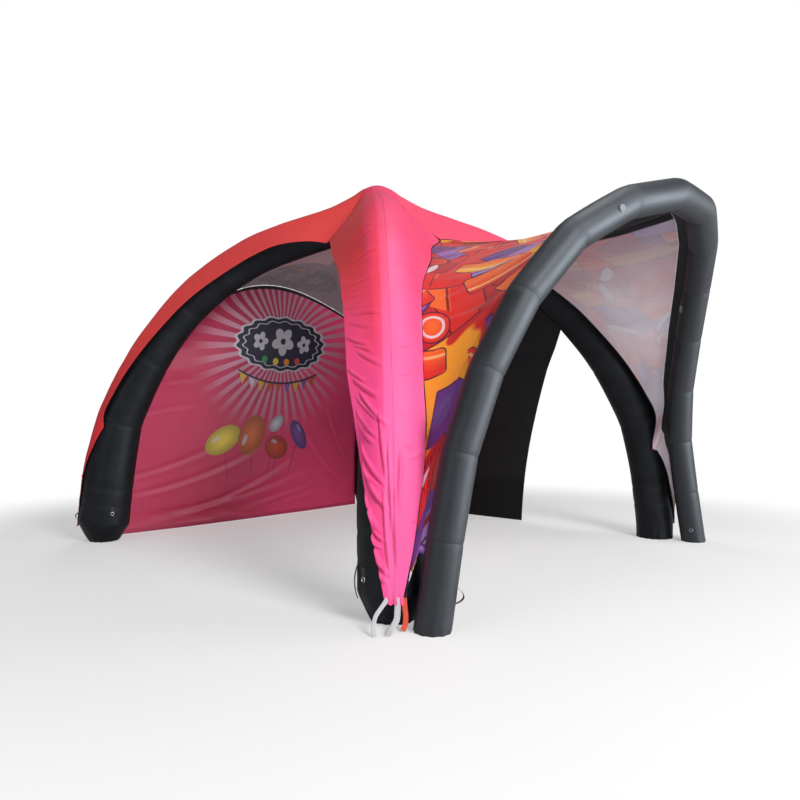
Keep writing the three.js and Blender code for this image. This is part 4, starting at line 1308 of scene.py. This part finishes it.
def make_arch():
    s = np.linspace(0, ARCH_LENGTH, ARCH_RINGS)[:, None]
    angle = np.linspace(0, 2 * math.pi, ARCH_SIDES, endpoint=False)[None, :]
    radius = ARCH_RADIUS - drawn_in(s, ARCH_SEAMS, *ARCH_DRAW) + 0.001 * ripple(angle, s, 0.7, 19)
    foot = np.exp(-np.minimum(s, ARCH_LENGTH - s) / 0.05)
    radius = radius + foot * 0.005 * np.cos(11 * angle) - 0.001
    rings = sweep(arch_at(np.linspace(0, 1, ARCH_RINGS)), radius)
    rings[[0, -1], :, 2] = 0.0
    rings[..., 2] = np.maximum(rings[..., 2], 0.0)
    seam = np.broadcast_to(nearest_seam(s, ARCH_SEAMS), radius.shape)
    tube("arch_tube_cloth", "arch_tube", rings, ARCH_CLOTH, {"seam": seam})


make_arch()


# ---- Awning ----

AWNING_GRID = (259, 90)
BAND_COLUMNS = 6
AWNING_PRINT = 8.2          # the print's length along the awning
AWNING_INNER = seam_line("front", "right", HEM_ROW, AWNING_GRID[0])


def arch_shares():
    """The corner meets the arch's middle, and each side keeps its lengths."""
    at = lengths(AWNING_INNER)
    low, high = AWNING_SPAN
    return np.interp(at, [0, at[len(at) // 2], at[-1]], [low, 0.5, high])


ARCH_SHARES = arch_shares()


def arch_side(away):
    """A line along the arch, on the side that faces the tent and that far from its cloth."""
    middle = arch_at(ARCH_SHARES)
    tangent = unit(arch_at(np.minimum(ARCH_SHARES + 0.004, 1)) - arch_at(np.maximum(ARCH_SHARES - 0.004, 0)))
    toward = AWNING_INNER - middle
    toward -= tangent * np.sum(toward * tangent, axis=1)[:, None]
    room = np.linalg.norm(toward, axis=1) - ARCH_RADIUS
    return middle + unit(toward) * (ARCH_RADIUS + np.minimum(away, room * BAND_MOST))[:, None]


BAND_PLACE = (ARCH_SHARES - BAND_TOP_SPAN[0]) / (BAND_TOP_SPAN[1] - BAND_TOP_SPAN[0])
AWNING_OUTER = arch_side(AWNING_BAND + BAND_TOP * smoothstep(1 - np.abs(2 * BAND_PLACE - 1)))
ARCH_SEAM = arch_side(-0.008)


def awning_folds():
    """Pulls along the lines of tension between the corner and the arch, and short puckers at the arch."""
    random = np.random.default_rng(12)
    strokes = []
    for k in range(26):
        along = lerp(0.18, 0.82, k / 25) + random.uniform(-0.012, 0.012)
        strokes.append((along, random.uniform(0.02, 0.15), along + random.uniform(-0.02, 0.02),
                        random.uniform(0.55, 0.98), random.uniform(-0.008, 0.008), random.uniform(0.004, 0.008),
                        random.uniform(0.004, 0.010)))
    for k in range(60):
        along = lerp(0.06, 0.94, k / 59) + random.uniform(-0.006, 0.006)
        strokes.append((along, 1.01, along + random.uniform(-0.01, 0.01), random.uniform(0.72, 0.9),
                        0.0, random.uniform(0.003, 0.005), random.uniform(0.003, 0.007)))
    return strokes


def make_awning():
    points, share, run = between(AWNING_INNER, AWNING_OUTER, AWNING_GRID[1])
    points[..., 2] -= AWNING_SAG * 4 * share * (1 - share) * np.sin(math.pi * run) ** 2
    across = np.linspace(0, 1, AWNING_GRID[1])[None, :]
    reach = lengths(AWNING_INNER)[:, None]
    along = reach / reach[-1]
    # Here a fold's unit is a share of the awning, and its width a share of the awning's length
    lift = fold_height(along, across, awning_folds())
    lift = lift * smoothstep(across / 0.06) * smoothstep((1 - across) / 0.03)
    lift = lift + 0.004 * ripple(along * 7, across * 1.4, 0.8, 23) * smoothstep(across * (1 - across) / 0.05)
    width = np.linalg.norm(AWNING_OUTER - AWNING_INNER, axis=1)[:, None]
    pu = np.broadcast_to(along * AWNING_PRINT, points.shape[:2])
    pv = across * width
    awning_print = awning_cloth(True)
    sew("awning_cloth", "awning_panel", "awning", raised(points, lift[..., None]),
        [awning_print, awning_cloth(False), DARK], {"pu": pu, "pv": pv, "rim": width - pv},
        "stretched", ["arch_tube_cloth"], edge_slot=2)
    band, _, _ = between(AWNING_OUTER, ARCH_SEAM, BAND_COLUMNS)
    pv = width + np.linalg.norm(band - band[:, :1], axis=2)
    sew("awning_band_cloth", "awning_band", "dark_cloth", band, [awning_print, DARK],
        {"pu": pu[:, :BAND_COLUMNS], "pv": pv}, "stretched", ["arch_tube_cloth"], edge_slot=1)


make_awning()

# Dark piping in the seam between the cover and the awning
PIPING_RADIUS = 0.007
piping = resample(AWNING_INNER, 300)
piping = sweep(piping + unit(piping - INSIDE) * 0.003, np.full((len(piping), 8), PIPING_RADIUS))
tube("awning_piping", None, piping, DARK)


# ---- Fittings: the CAD nodes, better finished ----

def finish_node(node, material):
    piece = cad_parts[node]
    piece.data.materials.clear()
    piece.data.materials.append(material)


for spot in ("left_foot", "front_foot", "arch_foot"):
    finish_node(f"ring_{spot}", STEEL)
    finish_node(f"ring_tab_{spot}", BLACK_WEBBING)
for node in ("front_foot_handle", "left_foot_loop", "arch_foot_loop"):
    finish_node(node, BLACK_WEBBING)
finish_node("arch_valve", moulded("valve_grey", (0.10, 0.10, 0.105)))
finish_node("arch_buckle", moulded("grey_plastic", (0.20, 0.20, 0.21)))
finish_node("arch_buckle_tab", webbing("red_tab", (0.62, 0.030, 0.022)))


# ---- Floor, lamps and world ----

def camera_ray(tree):
    """1 for what the camera sees, 0 for all other light."""
    return Field(tree, add_node(tree, "LightPath", {}).outputs["Is Camera Ray"])


def make_stage():
    """A pale floor that fades to pure white away from the tent, for the camera only."""
    bpy.ops.mesh.primitive_plane_add(size=60.0, location=(0, 0, -0.001))
    floor = bpy.context.object
    floor.name = "floor"
    material = bpy.data.materials.new("floor")
    material.use_nodes = True
    tree = material.node_tree
    shader = tree.nodes["Principled BSDF"]
    for slot, value in (("Base Color", (0.93, 0.93, 0.93)), ("Roughness", 0.9), ("Specular IOR Level", 0.1)):
        wire(tree, value, shader.inputs[slot])
    place = add_node(tree, "TexCoord", {})
    far = add_node(tree, "VectorMath", {0: place.outputs["Object"]}, operation="LENGTH")
    fade = add_node(tree, "MapRange", {"Value": far.outputs["Value"], "From Min": 4.2, "From Max": 7.2, "To Min": 0.34},
                    interpolation_type="SMOOTHSTEP")
    glow = add_node(tree, "Emission", {"Strength": 1.0})
    both = add_node(tree, "MixShader", {0: camera_ray(tree) * fade.outputs["Result"], 1: shader.outputs[0],
                                        2: glow.outputs[0]})
    wire(tree, both.outputs[0], tree.nodes["Material Output"].inputs["Surface"])
    floor.data.materials.append(material)


def make_lamp(name, place, aim, size, power, colour=(1, 1, 1), diffuse=True, glossy=True):
    data = bpy.data.lights.new(name, "AREA")
    data.shape = "DISK"
    data.size = size
    data.energy = power
    data.color = colour
    lamp = bpy.data.objects.new(name, data)
    bpy.context.collection.objects.link(lamp)
    lamp.visible_diffuse = diffuse
    lamp.visible_glossy = glossy
    lamp.location = place
    lamp.rotation_euler = (Vector(aim) - Vector(place)).to_track_quat("-Z", "Y").to_euler()


def make_world():
    """Soft light from all round, and pure white where the camera sees past the floor."""
    world = bpy.data.worlds.new("world")
    bpy.context.scene.world = world
    world.use_nodes = True
    tree = world.node_tree
    back = tree.nodes["Background"]
    wire(tree, (0.93, 0.95, 1.0), back.inputs["Color"])
    wire(tree, 0.24, back.inputs["Strength"])
    white = add_node(tree, "Background", {"Color": (1.0, 1.0, 1.0), "Strength": 1.0})
    both = add_node(tree, "MixShader", {0: camera_ray(tree), 1: back.outputs[0], 2: white.outputs[0]})
    wire(tree, both.outputs[0], tree.nodes["World Output"].inputs["Surface"])


make_stage()
make_lamp("key", (5.0, -10.0, 7.0), (0, -0.5, 1.6), 4.5, 1050, (1.0, 0.985, 0.97))
make_lamp("side", (10.0, -3.0, 3.6), (0, -1.0, 1.8), 6.0, 300, (0.93, 0.96, 1.0))
make_lamp("glint", (9.0, -5.5, 1.8), (1.5, -1.8, 1.3), 5.5, 1150, (0.90, 0.95, 1.0), diffuse=False)
make_lamp("top", (1.8, -2.5, 9.5), (1.8, -1.5, 3.5), 5.0, 350, (0.95, 0.97, 1.0), diffuse=False)
make_lamp("fill", (-8.0, -9.0, 4.0), (0, 0, 1.5), 6.0, 200, (0.95, 0.97, 1.0))
make_lamp("rim", (-3.0, 9.0, 9.0), (0, 0, 2.0), 5.0, 260, glossy=False)
make_world()

bpy.context.scene.view_settings.view_transform = "Standard"
